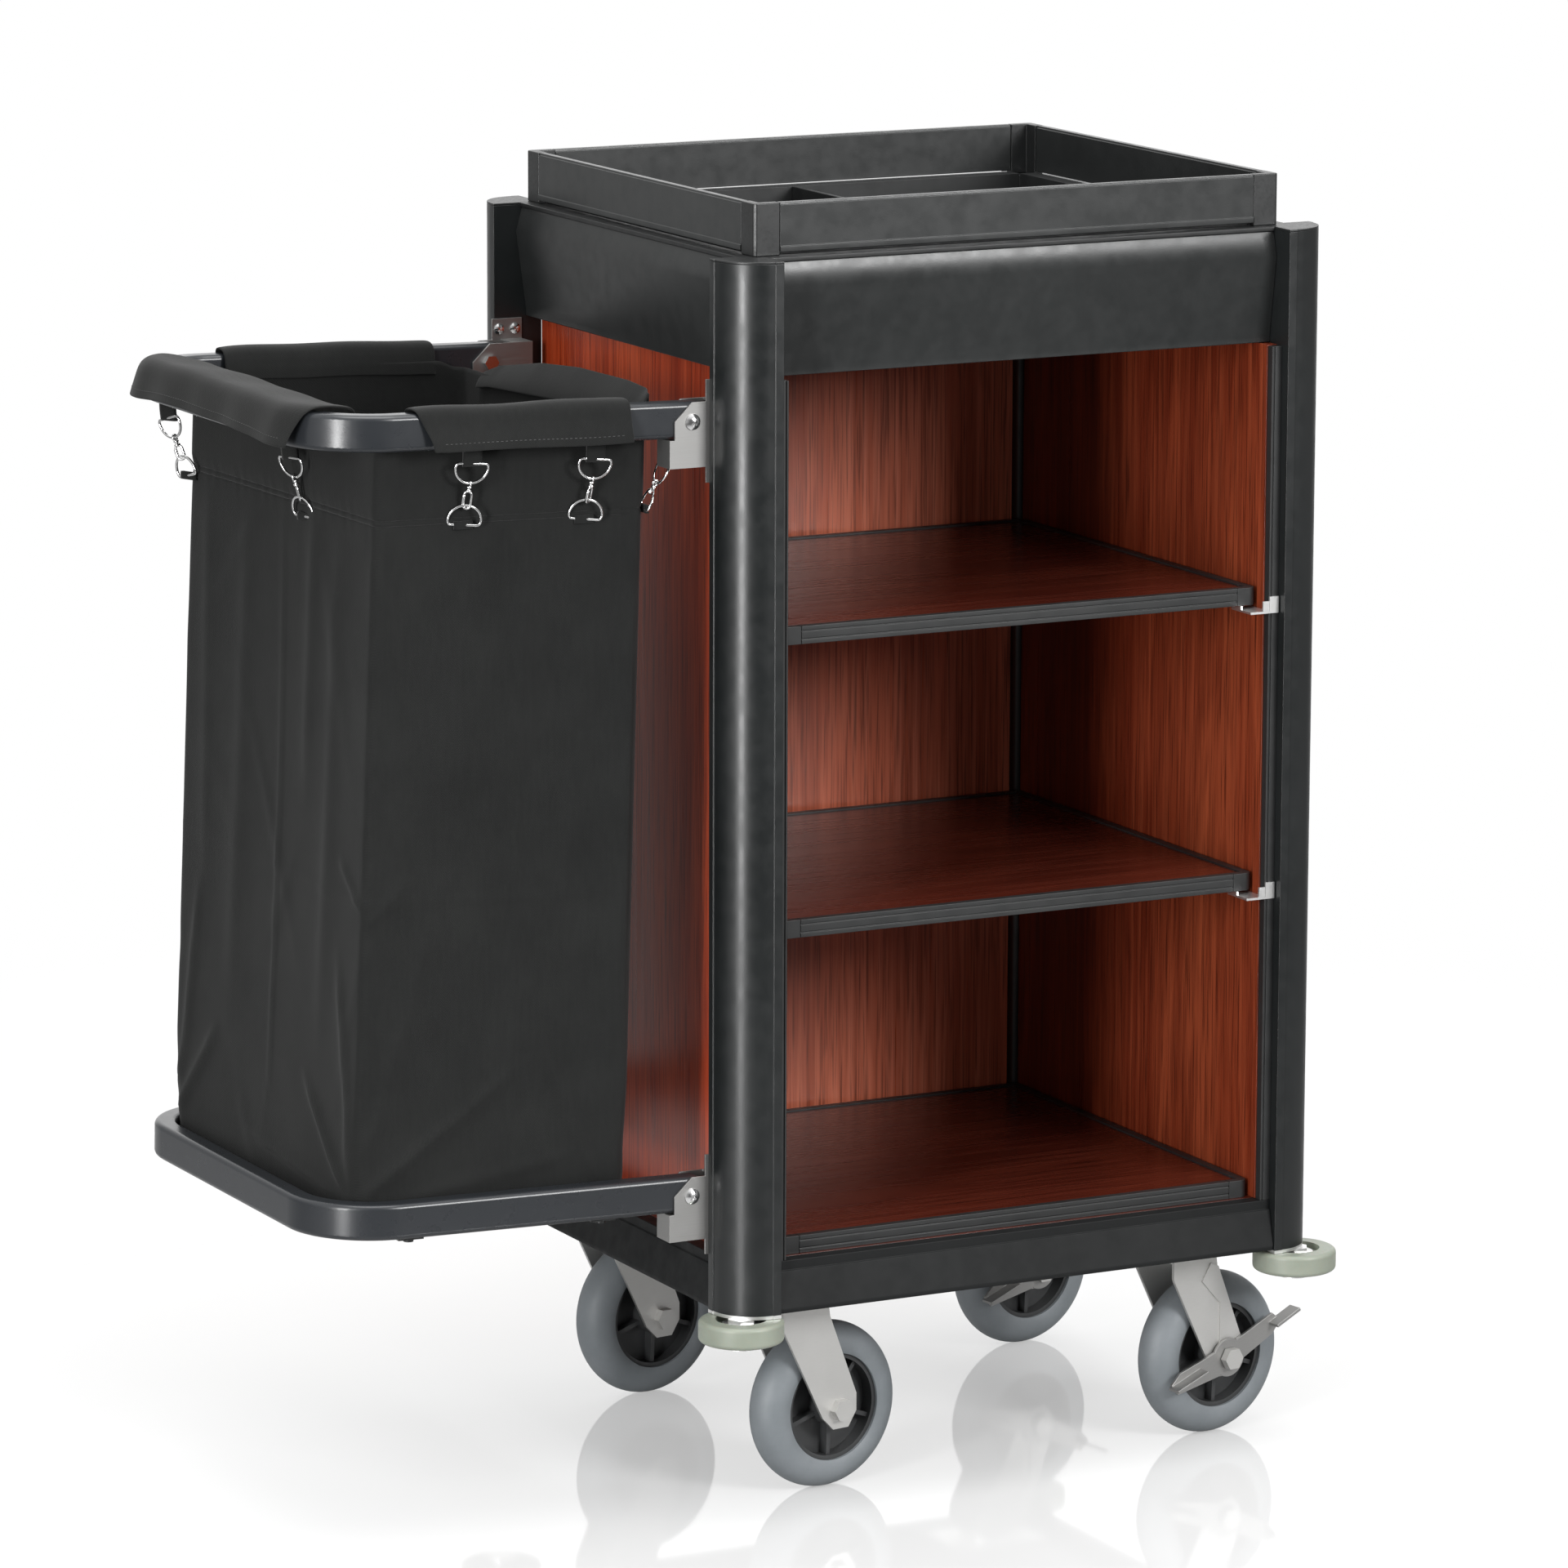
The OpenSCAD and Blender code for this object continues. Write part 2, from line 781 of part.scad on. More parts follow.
// open-topped bag with flaps that fold over the bar on three sides
module laundry_bag() {
    color(cloth)
    tilted(upper_pivot_z) {
        translate([(bag_x0 + bag_x1) / 2, mid_y, bag_z])
        difference() {
            linear_extrude(bag_top + flap_t - bag_z)
            rounded(bag_x1 - bag_x0, bag_w, bag_r);
            translate([0, 0, bag_wall])
            linear_extrude(bag_top + flap_t - bag_z)
            rounded(bag_x1 - bag_x0 - 2 * bag_wall, bag_w - 2 * bag_wall, bag_r - bag_wall);
        }
        y0 = arm_y + loop_r;
        box([flap_x, y0, bag_top], [bag_x0 + eps, cabinet_w - y0, bag_top + flap_t]);
        box([flap_x, y0, bag_top - flap_h], [flap_x + flap_t, cabinet_w - y0, bag_top + eps]);
        for (m = [0, 1])
            translate([flap_mid, m * cabinet_w, 0])
            mirror([0, m, 0]) {
                box([-flap_l / 2, arm_y - flap_out, bag_top], [flap_l / 2, bag_y + eps, bag_top + flap_t]);
                box([-flap_l / 2, arm_y - flap_out, bag_top - flap_h],
                    [flap_l / 2, arm_y - flap_out + flap_t, bag_top + eps]);
            }
    }
}

flap_mid = (bag_x0 + bag_x1) / 2 + 20;

// one chain: a D-ring at the flap, a snap hook and a D-ring at the bag, hanging along -Z
module hook_chain() {
    drop = 55;
    d_ring();
    translate([0, 0, -25])
    cylinder(r = 2.4, h = 8);
    translate([0, 1.6, -31.3])
    rotate([90, 0, 0])
    linear_extrude(3.2)
    difference() {
        rounded(8.9, 15, 4.3);
        rounded(4.3, 10.4, 2.1);
    }
    translate([0, 0, -drop])
    mirror([0, 0, 1])
    d_ring();
}

// a straight bar along X with a bow of round wire below it
module d_ring() {
    wire = 1.25;
    bow_r = 14.8;
    leg = 3.4;
    translate([-bow_r, 0, 0])
    rotate([0, 90, 0])
    cylinder(r = wire, h = 2 * bow_r);
    for (side = [-1, 1])
        translate([side * bow_r, 0, 0]) {
            sphere(wire);
            translate([0, 0, -leg])
            cylinder(r = wire, h = leg);
        }
    translate([0, 0, -leg])
    rotate([-90, 0, 0])
    rotate_extrude(angle = 180)
    translate([bow_r, 0])
    circle(wire);
}

module bag_hooks() {
    z = bag_top - flap_h - 7;
    out = 7;
    near = 0.03;
    far = 0.97;
    color(bright)
    tilted(upper_pivot_z) {
        for (k = [0.32, far])
            translate([bag_x0 - out, bag_y + bag_w * k, z])
            rotate([0, 0, 90])
            hook_chain();
        for (k = [near, far])
            translate([bag_x1 + out, bag_y + bag_w * k, z])
            rotate([0, 0, 90])
            hook_chain();
        for (x = [flap_mid - flap_l * 0.28, flap_mid + flap_l * 0.28], m = [0, 1])
            translate([x, m * cabinet_w, z])
            mirror([0, m, 0])
            translate([0, bag_y - out, 0])
            hook_chain();
    }
}

// ---- casters ----

plate_t = 4;
race_r = 26;
race_low = post_z - 10;
crown_top = race_low - safe_gap;
crown_t = 6;
crown_low = crown_top - crown_t;
leg_in = wheel_w / 2 + 4;
leg_t = 3;
lever_out = leg_in + leg_t + 2;
lever_t = 3;
boss_half = leg_in - 1.5;
tyre_t = 27;

module caster_place(i) {
    cart_frame()
    translate([right(i) ? cabinet_l - caster_in_x : caster_in_x,
        back(i) ? cabinet_w - caster_in_y : caster_in_y, 0])
    children();
}

module caster_plates() {
    color(steel)
    for (i = [0:3])
        caster_place(i) {
            box([-48, -35, post_z - plate_t], [48, 35, post_z]);
            translate([0, 0, race_low])
            cylinder(r = race_r, h = post_z - plate_t - race_low + eps);
            translate([0, 0, crown_low - 8])
            cylinder(r = axle_r, h = race_low - crown_low + 8 + eps);
            translate([0, 0, crown_low - 8])
            cylinder(r = 10, h = 8 - safe_gap, $fn = 6);
        }
}

// drawn with the wheel behind the swivel axis along +X; braked forks carry a stepped plate
module fork(i) {
    braked = right(i);
    head_y = braked ? lever_out + lever_t + 0.8 : leg_in + leg_t;
    color(steel)
    caster_place(i)
    rotate([0, 0, swivel]) {
        difference() {
            union() {
                translate([0, 0, crown_low])
                cylinder(r = race_r + 2, h = crown_t);
                box([-25, -leg_in - leg_t, crown_low], [25, leg_in + leg_t, crown_low + 3]);
                for (m = [0, 1])
                    mirror([0, m, 0])
                    side_plate(leg_in, leg_in + leg_t)
                    leg_outline();
                if (braked) side_plate(-leg_in - leg_t - 1.5, -leg_in - leg_t + eps) brake_outline();
            }
            translate([0, 0, crown_low - 1])
            cylinder(r = axle_r + run_gap, h = crown_t + 2);
            translate([trail, -40, wheel_r])
            rotate([-90, 0, 0])
            cylinder(r = axle_r + 0.02, h = 80);
        }
        translate([trail, 0, wheel_r])
        rotate([-90, 0, 0]) {
            translate([0, 0, -head_y - 7.5])
            cylinder(r = axle_r, h = head_y + leg_in + leg_t + 20);
            translate([0, 0, -head_y - 7.5])
            cylinder(r = 10.5, h = 7.5, $fn = 6);
            translate([0, 0, leg_in + leg_t])
            cylinder(r = 10.5, h = 9, $fn = 6);
        }
    }
}

module leg_outline() {
    polygon([[-25, crown_low + 3], [25, crown_low + 3], [27, crown_low - 10], [trail + 19, wheel_r + 12],
        [trail + 19, wheel_r - 4], [trail + 10, wheel_r - 18], [trail - 7, wheel_r - 18],
        [trail - 19, wheel_r - 6], [-25, crown_low - 16]]);
}

module brake_outline() {
    polygon([[18, crown_low - 6], [27, crown_low - 10], [trail + 19, wheel_r + 12],
        [trail + 19, wheel_r - 2], [trail - 8, wheel_r - 2], [trail - 8, wheel_r + 52],
        [trail - 14, wheel_r + 58], [8, crown_low - 22]]);
}

module hub(i) {
    rim_r = wheel_r - tyre_t;
    ribs = 5;
    color("#3c3c3e")
    wheel_place(i)
    difference() {
        union() {
            difference() {
                cylinder(r = rim_r, h = wheel_w - 8, center = true);
                cylinder(r = rim_r - 4, h = wheel_w, center = true);
            }
            cylinder(r = rim_r - 3, h = 5, center = true);
            cylinder(r = 17, h = 2 * boss_half, center = true);
            for (k = [0:ribs - 1])
                rotate([0, 0, k * 360 / ribs + 20])
                translate([rim_r / 2, 0, 0])
                cube([rim_r - 5, 4, wheel_w - 16], center = true);
        }
        cylinder(r = axle_r + run_gap, h = 2 * leg_in, center = true);
    }
}

module wheel_place(i) {
    caster_place(i)
    rotate([0, 0, swivel])
    translate([trail, 0, wheel_r])
    rotate([-90, 0, 0])
    children();
}

// a tyre with a round tread, flat where it sits on the rim
module tyre(i) {
    half = wheel_w / 2;
    inner = wheel_r - tyre_t;
    color("#70767a")
    wheel_place(i)
    rotate_extrude($fn = 96)
    difference() {
        translate([wheel_r - half, 0]) circle(half);
        translate([0, -half]) square([inner, wheel_w]);
    }
}

// rocker lever on the axle of a braked caster, a pedal on each end
module brake_lever(i) {
    color(bright)
    caster_place(i)
    rotate([0, 0, swivel])
    translate([trail, 0, wheel_r])
    difference() {
        union() {
            side_plate(-lever_out - lever_t, -lever_out) {
                circle(18);
                polygon([[0, -12], [52, 14], [62, 26], [52, 34], [10, 16]]);
                polygon([[0, 12], [-58, -6], [-68, -16], [-60, -26], [-10, -16]]);
            }
            translate([0, -lever_out - 15, 0]) {
                rotate([0, -24, 0]) box([54, 0, 1], [84, 14.5, 4]);
                rotate([0, -20, 0]) box([-72, 0, 4], [-34, 14.5, 7]);
            }
        }
        rotate([90, 0, 0])
        cylinder(r = axle_r + run_gap, h = 100, center = true);
    }
}

// ---- bumpers ----

module bumper(i) {
    color("#b4bca8")
    cart_frame()
    at_corner(i)
    translate([bumper_in, bumper_in, 0])
    rotate_extrude($fn = 96)
    difference() {
        union() {
            translate([bolt_r + run_gap, roller_low])
            square([bumper_d / 2 - 4 - bolt_r - run_gap, bumper_h]);
            translate([bumper_d / 2 - 4 - eps, roller_low + 4])
            square([4 + eps, bumper_h - 8]);
            for (z = [roller_low + 4, roller_top - 4])
                translate([bumper_d / 2 - 4, z])
                circle(4, $fn = 32);
        }
        translate([0, roller_top - recess_d])
        square([recess_r, recess_d + 1]);
    }
}

for (i = [0:3]) {
    post(i);
    fork(i);
    hub(i);
    tyre(i);
    bumper(i);
}
for (s = ["front", "back", "left", "right"])
    fascia(s);
post_caps();
post_feet();
top_frame();
tray_panels();
tray_corners();
tray_bin();
tray_divider();
side_panel(0);  // left_panel
side_panel(1);  // right_panel
back_panel();
panel_strips();
corner_profiles();
base_rails();
base_beams();
base_deck();
shelf_board(bottom_shelf_z);  // bottom_shelf_board
shelf_trim(bottom_shelf_z);  // bottom_shelf_trim
shelf_board(middle_shelf_z);  // middle_shelf_board
shelf_trim(middle_shelf_z);  // middle_shelf_trim
shelf_clips(middle_shelf_z);  // middle_shelf_clips
shelf_board(upper_shelf_z);  // upper_shelf_board
shelf_trim(upper_shelf_z);  // upper_shelf_trim
shelf_clips(upper_shelf_z);  // upper_shelf_clips
bracket(upper_pivot_z, 0);  // bracket_upper_front
bracket(upper_pivot_z, 1);  // bracket_upper_back
bracket(lower_pivot_z, 0);  // bracket_lower_front
bracket(lower_pivot_z, 1);  // bracket_lower_back
bracket_screws();
upper_loop();
laundry_bag();
bag_hooks();
lower_loop();
bag_floor();
caster_plates();
brake_lever(1);  // brake_lever_fr
brake_lever(3);  // brake_lever_br
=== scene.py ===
"""Looks of the housekeeping cart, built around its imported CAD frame. Lengths are metres."""

import json
import math

import bmesh
import bpy
import numpy as np
from mathutils import Matrix, Vector


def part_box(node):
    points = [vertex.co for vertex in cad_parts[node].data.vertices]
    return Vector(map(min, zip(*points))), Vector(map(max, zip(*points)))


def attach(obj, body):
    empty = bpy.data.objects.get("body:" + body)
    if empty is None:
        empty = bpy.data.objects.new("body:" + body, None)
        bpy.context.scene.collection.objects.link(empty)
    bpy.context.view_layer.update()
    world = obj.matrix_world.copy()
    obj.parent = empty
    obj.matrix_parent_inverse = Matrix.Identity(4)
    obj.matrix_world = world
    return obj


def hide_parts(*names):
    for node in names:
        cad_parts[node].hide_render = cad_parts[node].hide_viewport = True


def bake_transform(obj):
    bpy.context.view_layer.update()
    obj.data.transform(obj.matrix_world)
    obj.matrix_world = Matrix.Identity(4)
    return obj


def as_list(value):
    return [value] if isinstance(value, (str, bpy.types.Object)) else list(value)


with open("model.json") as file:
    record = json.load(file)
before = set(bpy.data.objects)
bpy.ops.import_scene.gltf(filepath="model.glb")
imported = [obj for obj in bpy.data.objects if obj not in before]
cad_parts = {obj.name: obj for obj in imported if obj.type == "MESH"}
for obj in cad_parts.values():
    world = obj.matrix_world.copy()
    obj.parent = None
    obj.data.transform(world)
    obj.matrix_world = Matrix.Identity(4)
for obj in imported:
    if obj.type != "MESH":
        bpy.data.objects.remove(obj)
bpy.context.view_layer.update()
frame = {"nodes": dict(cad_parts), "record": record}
NODES = frame["nodes"]
SCENE = bpy.context.scene

# ---------------------------------------------------------------- places

MM = 0.001
POST_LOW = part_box("post_fl")[0]
BACK_POST_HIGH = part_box("post_bl")[1]
# the cart's own corner: the outer edge of the front left post, on the floor
CORNER = Vector((POST_LOW.x, POST_LOW.y, 0.0))
# over the posts, front to back
WIDTH = BACK_POST_HIGH.y - POST_LOW.y


def cart(x, y, z=0.0):
    """A point from distances in millimetres from the cart's corner and the floor."""
    return CORNER + Vector((x, y, z)) * MM


# ---------------------------------------------------------------- camera

LENS_MM, SENSOR_MM, FAR_M = 182.64, 36.0, 100.0
CAMERA_PLACE = cart(-3067.64, -6017.5, 1989.2)
CAMERA_YAW, CAMERA_PITCH, CAMERA_ROLL = (math.radians(a) for a in (-27.38, -11.05, 0.18))


def make_camera():
    data = bpy.data.cameras.new("camera")
    data.sensor_width = SENSOR_MM
    data.lens = LENS_MM
    camera = bpy.data.objects.new("camera", data)
    SCENE.collection.objects.link(camera)
    turn = (
        Matrix.Rotation(CAMERA_YAW, 4, "Z")
        @ Matrix.Rotation(math.pi / 2 + CAMERA_PITCH, 4, "X")
        @ Matrix.Rotation(CAMERA_ROLL, 4, "Z")
    )
    camera.matrix_world = Matrix.Translation(CAMERA_PLACE) @ turn
    data.clip_end = FAR_M
    SCENE.camera = camera


make_camera()

# ---------------------------------------------------------------- node helpers


class Shader:
    """A node material under construction: a Principled shader and what feeds it."""

    def __init__(self, name, **fixed):
        self.mat = bpy.data.materials.new(name)
        self.mat.use_nodes = True
        self.tree = self.mat.node_tree
        self.bsdf = self.tree.nodes["Principled BSDF"]
        for key, value in fixed.items():
            self.bsdf.inputs[key.replace("_", " ")].default_value = value
        self.point = self.add("TexCoord").outputs["Object"]

    def add(self, kind, inputs=None, **settings):
        node = self.tree.nodes.new("ShaderNode" + kind)
        for key, value in settings.items():
            setattr(node, key, value)
        for key, value in (inputs or {}).items():
            if isinstance(value, bpy.types.NodeSocket):
                self.tree.links.new(value, node.inputs[key])
            else:
                node.inputs[key].default_value = value
        return node

    def stretched(self, scale):
        return self.add("Mapping", {"Vector": self.point, "Scale": scale}).outputs[0]

    def noise(self, scale, detail=3.0, rough=0.55, twist=0.0, vector=None):
        where = self.point if vector is None else vector
        values = {"Vector": where, "Scale": scale, "Detail": detail,
                  "Roughness": rough, "Distortion": twist}
        return self.add("TexNoise", values).outputs["Fac"]

    def ramp(self, value, stops):
        node = self.add("ValToRGB", {"Fac": value})
        ends = node.color_ramp.elements
        while len(ends) < len(stops):
            ends.new(0.5)
        for end, (place, colour) in zip(ends, stops):
            end.position = place
            end.color = (*colour, 1.0)
        return node.outputs["Color"]

    def span(self, value, low, high, start=0.0, stop=1.0):
        values = {"Value": value, "From Min": start, "From Max": stop,
                  "To Min": low, "To Max": high}
        return self.add("MapRange", values).outputs["Result"]

    def math(self, kind, a, b=0.0):
        return self.add("Math", {0: a, 1: b}, operation=kind).outputs[0]

    def mix(self, share, a, b):
        # sockets 0, 6 and 7 are the share and the two colours
        node = self.add("Mix", data_type="RGBA")
        for index, value in ((0, share), (6, a), (7, b)):
            if isinstance(value, bpy.types.NodeSocket):
                self.tree.links.new(value, node.inputs[index])
            else:
                node.inputs[index].default_value = value if index == 0 else (*value, 1.0)
        return node.outputs[2]

    def bump(self, height, depth, strength=1.0, under=None):
        values = {"Height": height, "Distance": depth, "Strength": strength}
        if under is not None:
            values["Normal"] = under
        return self.add("Bump", values).outputs["Normal"]

    def drive(self, **sockets):
        for key, value in sockets.items():
            self.tree.links.new(value, self.bsdf.inputs[key.replace("_", " ")])
        return self.mat


def coated(name, dark, light, rough=(0.36, 0.46), grain=0.00006, **fixed):
    """Powder coat: near black, slightly uneven, with a fine orange peel."""
    s = Shader(name, **fixed)
    cloud = s.noise(5.0, 4.0)
    colour = s.ramp(cloud, [(0.35, dark), (0.68, light)])
    peel = s.noise(900.0, 2.0)
    fine = s.noise(60.0, 3.0)
    return s.drive(
        Base_Color=colour,
        Roughness=s.span(fine, *rough, 0.35, 0.65),
        Normal=s.bump(peel, grain, 0.6),
    )


def brushed(name, light, rough, stretch, grain=0.00003, tint=0.12):
    """Metal with fine streaks along the direction of least stretch."""
    s = Shader(name, Metallic=1.0)
    streak = s.noise(1.0, 5.0, 0.65, vector=s.stretched(stretch))
    cloud = s.noise(9.0, 3.0)
    low = tuple(c * (1.0 - tint) for c in light)
    colour = s.mix(s.span(cloud, 0.0, 1.0, 0.3, 0.7), low, light)
    return s.drive(
        Base_Color=colour,
        Roughness=s.span(streak, *rough, 0.3, 0.7),
        Normal=s.bump(streak, grain, 0.5),
    )


def wood(name, along, across, tones, rough=(0.26, 0.36)):
    """Printed mahogany laminate: long pores, streaks and a few flame shapes along one axis."""
    s = Shader(name, Specular_IOR_Level=0.5)
    axes = "xyz"
    base = s.stretched(tuple(
        0.09 if axis == along else (1.0 if axis == across else 0.35) for axis in axes))
    # broad bands and flames: wavy rings cut lengthwise
    sway = s.noise(2.2, 2.0, 0.5, vector=base)
    shift = s.math("MULTIPLY", sway, 0.22)
    flame = s.add("VectorMath", {0: base, 1: s.add("CombineXYZ", {
        "X": shift, "Y": shift}).outputs[0]}, operation="ADD").outputs[0]
    bands = s.noise(11.0, 4.0, 0.55, 0.5, vector=flame)
    rings = s.math("PINGPONG", s.math("MULTIPLY", bands, 22.0), 1.0)
    pores = s.noise(1.0, 2.0, 0.6, vector=s.stretched(
        tuple(11.0 if axis == along else 480.0 for axis in axes)))
    streak = s.noise(1.0, 4.0, 0.6, vector=s.stretched(
        tuple(2.6 if axis == along else 150.0 for axis in axes)))
    dark, middle, light = tones
    colour = s.ramp(bands, [(0.30, dark), (0.50, middle), (0.72, light)])
    colour = s.mix(s.span(rings, 0.0, 0.42), colour, dark)
    colour = s.mix(s.span(streak, 0.0, 0.55, 0.45, 0.70), colour, light)
    colour = s.mix(s.span(pores, 0.0, 0.80, 0.50, 0.68), colour, tuple(c * 0.5 for c in dark))
    return s.drive(
        Base_Color=colour,
        Roughness=s.span(streak, *rough, 0.3, 0.7),
        Normal=s.bump(pores, 0.00002, 0.4),
    )


YARNS = 2600.0     # turns of the weave's wave, in radians for each metre


def canvas(name, dark, light):
    """Woven cloth: two crossing sets of yarns, a dull sheen and uneven dye."""
    s = Shader(name, Roughness=0.92, Sheen_Weight=0.07, Sheen_Roughness=0.45,
               Specular_IOR_Level=0.22)
    x, y, z = (s.add("SeparateXYZ", {0: s.point}).outputs[i] for i in range(3))
    side = s.math("ADD", x, y)
    warp = s.math("SINE", s.math("MULTIPLY", side, YARNS))
    weft = s.math("SINE", s.math("MULTIPLY", z, YARNS))
    weave = s.math("MULTIPLY", warp, weft)
    cloud = s.noise(14.0, 4.0)
    slub = s.noise(1.0, 3.0, vector=s.stretched((260.0, 260.0, 40.0)))
    tone = s.math("ADD", s.math("MULTIPLY", cloud, 0.7), s.math("MULTIPLY", slub, 0.3))
    colour = s.ramp(tone, [(0.34, dark), (0.64, light)])
    colour = s.mix(s.span(weave, 0.0, 0.35, -1.0, 1.0), colour, tuple(c * 0.5 for c in dark))
    lumps = s.noise(320.0, 3.0)
    normal = s.bump(weave, 0.00012, 0.45)
    return s.drive(Base_Color=colour, Normal=s.bump(lumps, 0.00035, 0.5, normal))


def moulded(name, dark, light, rough, grain=0.0001, peel=350.0, **fixed):
    """Moulded plastic or rubber: slight mottle and a fine grain."""
    s = Shader(name, **fixed)
    cloud = s.noise(18.0, 4.0)
    speck = s.noise(peel, 3.0)
    colour = s.ramp(cloud, [(0.35, dark), (0.65, light)])
    return s.drive(
        Base_Color=colour,
        Roughness=s.span(speck, *rough, 0.3, 0.7),
        Normal=s.bump(speck, grain, 0.5),
    )


# ---------------------------------------------------------------- materials

M = {
    "coat": coated("powder_coat", (0.0055, 0.0066, 0.0068), (0.0085, 0.0098, 0.0100),
                   (0.30, 0.38)),
    # a lighter copy of the same black coat for the fascia and the tray panels: painted light on
    # the upper parts
    "coat_painted_light_top": coated("upper_coat_painted_light", (0.0120, 0.0130, 0.0130), (0.0175, 0.0188, 0.0188),
                       (0.30, 0.38)),
    # a darker copy of the same black coat for the top frame, corner profiles, base beams and bag
    # floor: painted shade under and between parts
    "coat_painted_shade": coated("painted_shade_coat", (0.0030, 0.0034, 0.0036), (0.0055, 0.0060, 0.0062)),
    "coat_inner": coated("inner_coat", (0.0050, 0.0056, 0.0058), (0.0080, 0.0088, 0.0090),
                         (0.5, 0.62)),
    # a darker, duller copy of the black coat for the base rails: painted shade low down by the
    # floor
    "coat_rail_painted_shade": coated("rail_coat_painted_shade", (0.0040, 0.0045, 0.0047), (0.0065, 0.0071, 0.0073),
                        (0.5, 0.62), Specular_IOR_Level=0.2),
    "trim": coated("edge_trim", (0.0100, 0.0106, 0.0108), (0.0150, 0.0158, 0.0160),
                   (0.42, 0.52)),
    "loop": coated("loop_coat", (0.0150, 0.0168, 0.0195), (0.0175, 0.0195, 0.0225),
                   (0.27, 0.30), 0.000006),
    "cap": moulded("black_plastic", (0.0075, 0.0080, 0.0082), (0.0130, 0.0138, 0.0140),
                   (0.34, 0.46), 0.00004),
    # the back panel's laminate is much lighter than the side panels' same laminate: painted light
    # inside the cabinet
    "wood_back_painted_light": wood("laminate_back_painted_light", "z", "x",
                     ((0.330, 0.0740, 0.0360), (0.560, 0.1400, 0.0720), (0.780, 0.2500, 0.1480))),
    "wood_right": wood("laminate_right", "z", "y",
                       ((0.070, 0.0085, 0.0032), (0.140, 0.0205, 0.0070),
                        (0.270, 0.0560, 0.0210))),
    # the left panel's laminate is lighter than the right panel's same laminate: painted light on
    # the left side
    "wood_left_painted_light": wood("laminate_left_painted_light", "z", "y",
                      ((0.240, 0.0240, 0.0070), (0.430, 0.0520, 0.0140),
                       (0.600, 0.1000, 0.0320))),
    "wood_x_y": wood("laminate_shelf", "x", "y",
                     ((0.042, 0.0062, 0.0032), (0.066, 0.0110, 0.0056), (0.094, 0.0175, 0.0090)),
                     (0.22, 0.30)),
    "steel": brushed("satin_steel", (0.60, 0.595, 0.58), (0.46, 0.56), (30.0, 900.0, 900.0)),
    "plate": brushed("bracket_steel", (0.34, 0.337, 0.33), (0.46, 0.56), (30.0, 900.0, 900.0)),
    "zinc": brushed("zinc_plate", (0.88, 0.88, 0.87), (0.34, 0.44), (420.0, 420.0, 420.0)),
    "chrome": brushed("bright_plate", (0.82, 0.82, 0.82), (0.10, 0.18), (240.0, 240.0, 240.0),
                      0.00001, 0.05),
    "canvas": canvas("black_canvas", (0.0062, 0.0066, 0.0064), (0.0105, 0.0110, 0.0106)),
    "thread": moulded("sewing_thread", (0.018, 0.018, 0.018), (0.034, 0.034, 0.034), (0.7, 0.8)),
    "tyre": moulded("grey_tyre", (0.130, 0.145, 0.155), (0.165, 0.180, 0.192), (0.50, 0.62),
                    0.0001, 240.0),
    "hub": moulded("hub_plastic", (0.022, 0.023, 0.024), (0.034, 0.035, 0.036), (0.36, 0.46)),
    "bumper": moulded("bumper_plastic", (0.185, 0.205, 0.165), (0.23, 0.25, 0.205), (0.38, 0.50),
                      0.00005, 300.0, Subsurface_Weight=0.08, Subsurface_Scale=0.004),
}

# ---------------------------------------------------------------- finished CAD copies


SAME_POINT, SAME_ROUNDED_POINT = 2e-6, 1e-6
FLAT_ANGLE, SHARP_ANGLE = math.radians(0.6), math.radians(34)
EDGE_STEPS, FACE_WEIGHT = 2, 100


def finished(node, body, width, slot, material):
    """Copies a CAD node, rounds its sharp edges slightly and puts the copy in its place."""
    mesh = bpy.data.meshes.new(f"{node}_skin")
    bm = bmesh.new()
    bm.from_mesh(NODES[node].data)
    bmesh.ops.remove_doubles(bm, verts=bm.verts, dist=SAME_POINT)
    bmesh.ops.dissolve_limit(
        bm, angle_limit=FLAT_ANGLE, verts=bm.verts, edges=bm.edges,
        use_dissolve_boundaries=False)
    sharp = [e for e in bm.edges if len(e.link_faces) == 2
             and e.calc_face_angle(0.0) > SHARP_ANGLE]
    bmesh.ops.bevel(bm, geom=sharp, offset=width, offset_type="OFFSET", segments=EDGE_STEPS,
                    profile=0.5, affect="EDGES", clamp_overlap=True)
    bmesh.ops.remove_doubles(bm, verts=bm.verts, dist=SAME_ROUNDED_POINT)
    for face in bm.faces:
        face.smooth = True
    bm.to_mesh(mesh)
    bm.free()
    mesh.materials.append(material)
    copy = bpy.data.objects.new(f"{node}_skin", mesh)
    SCENE.collection.objects.link(copy)
    weighted = copy.modifiers.new("normals", "WEIGHTED_NORMAL")
    weighted.weight = FACE_WEIGHT
    weighted.keep_sharp = False
    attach(copy, body)
    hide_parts(node)
    return copy


BODY_OF = {n: b for b, ns in frame["record"]["behaviour"]["bodies"].items() for n in ns}
CORNERS = ("fl", "fr", "bl", "br")
SIDES = ("front", "back", "left", "right")

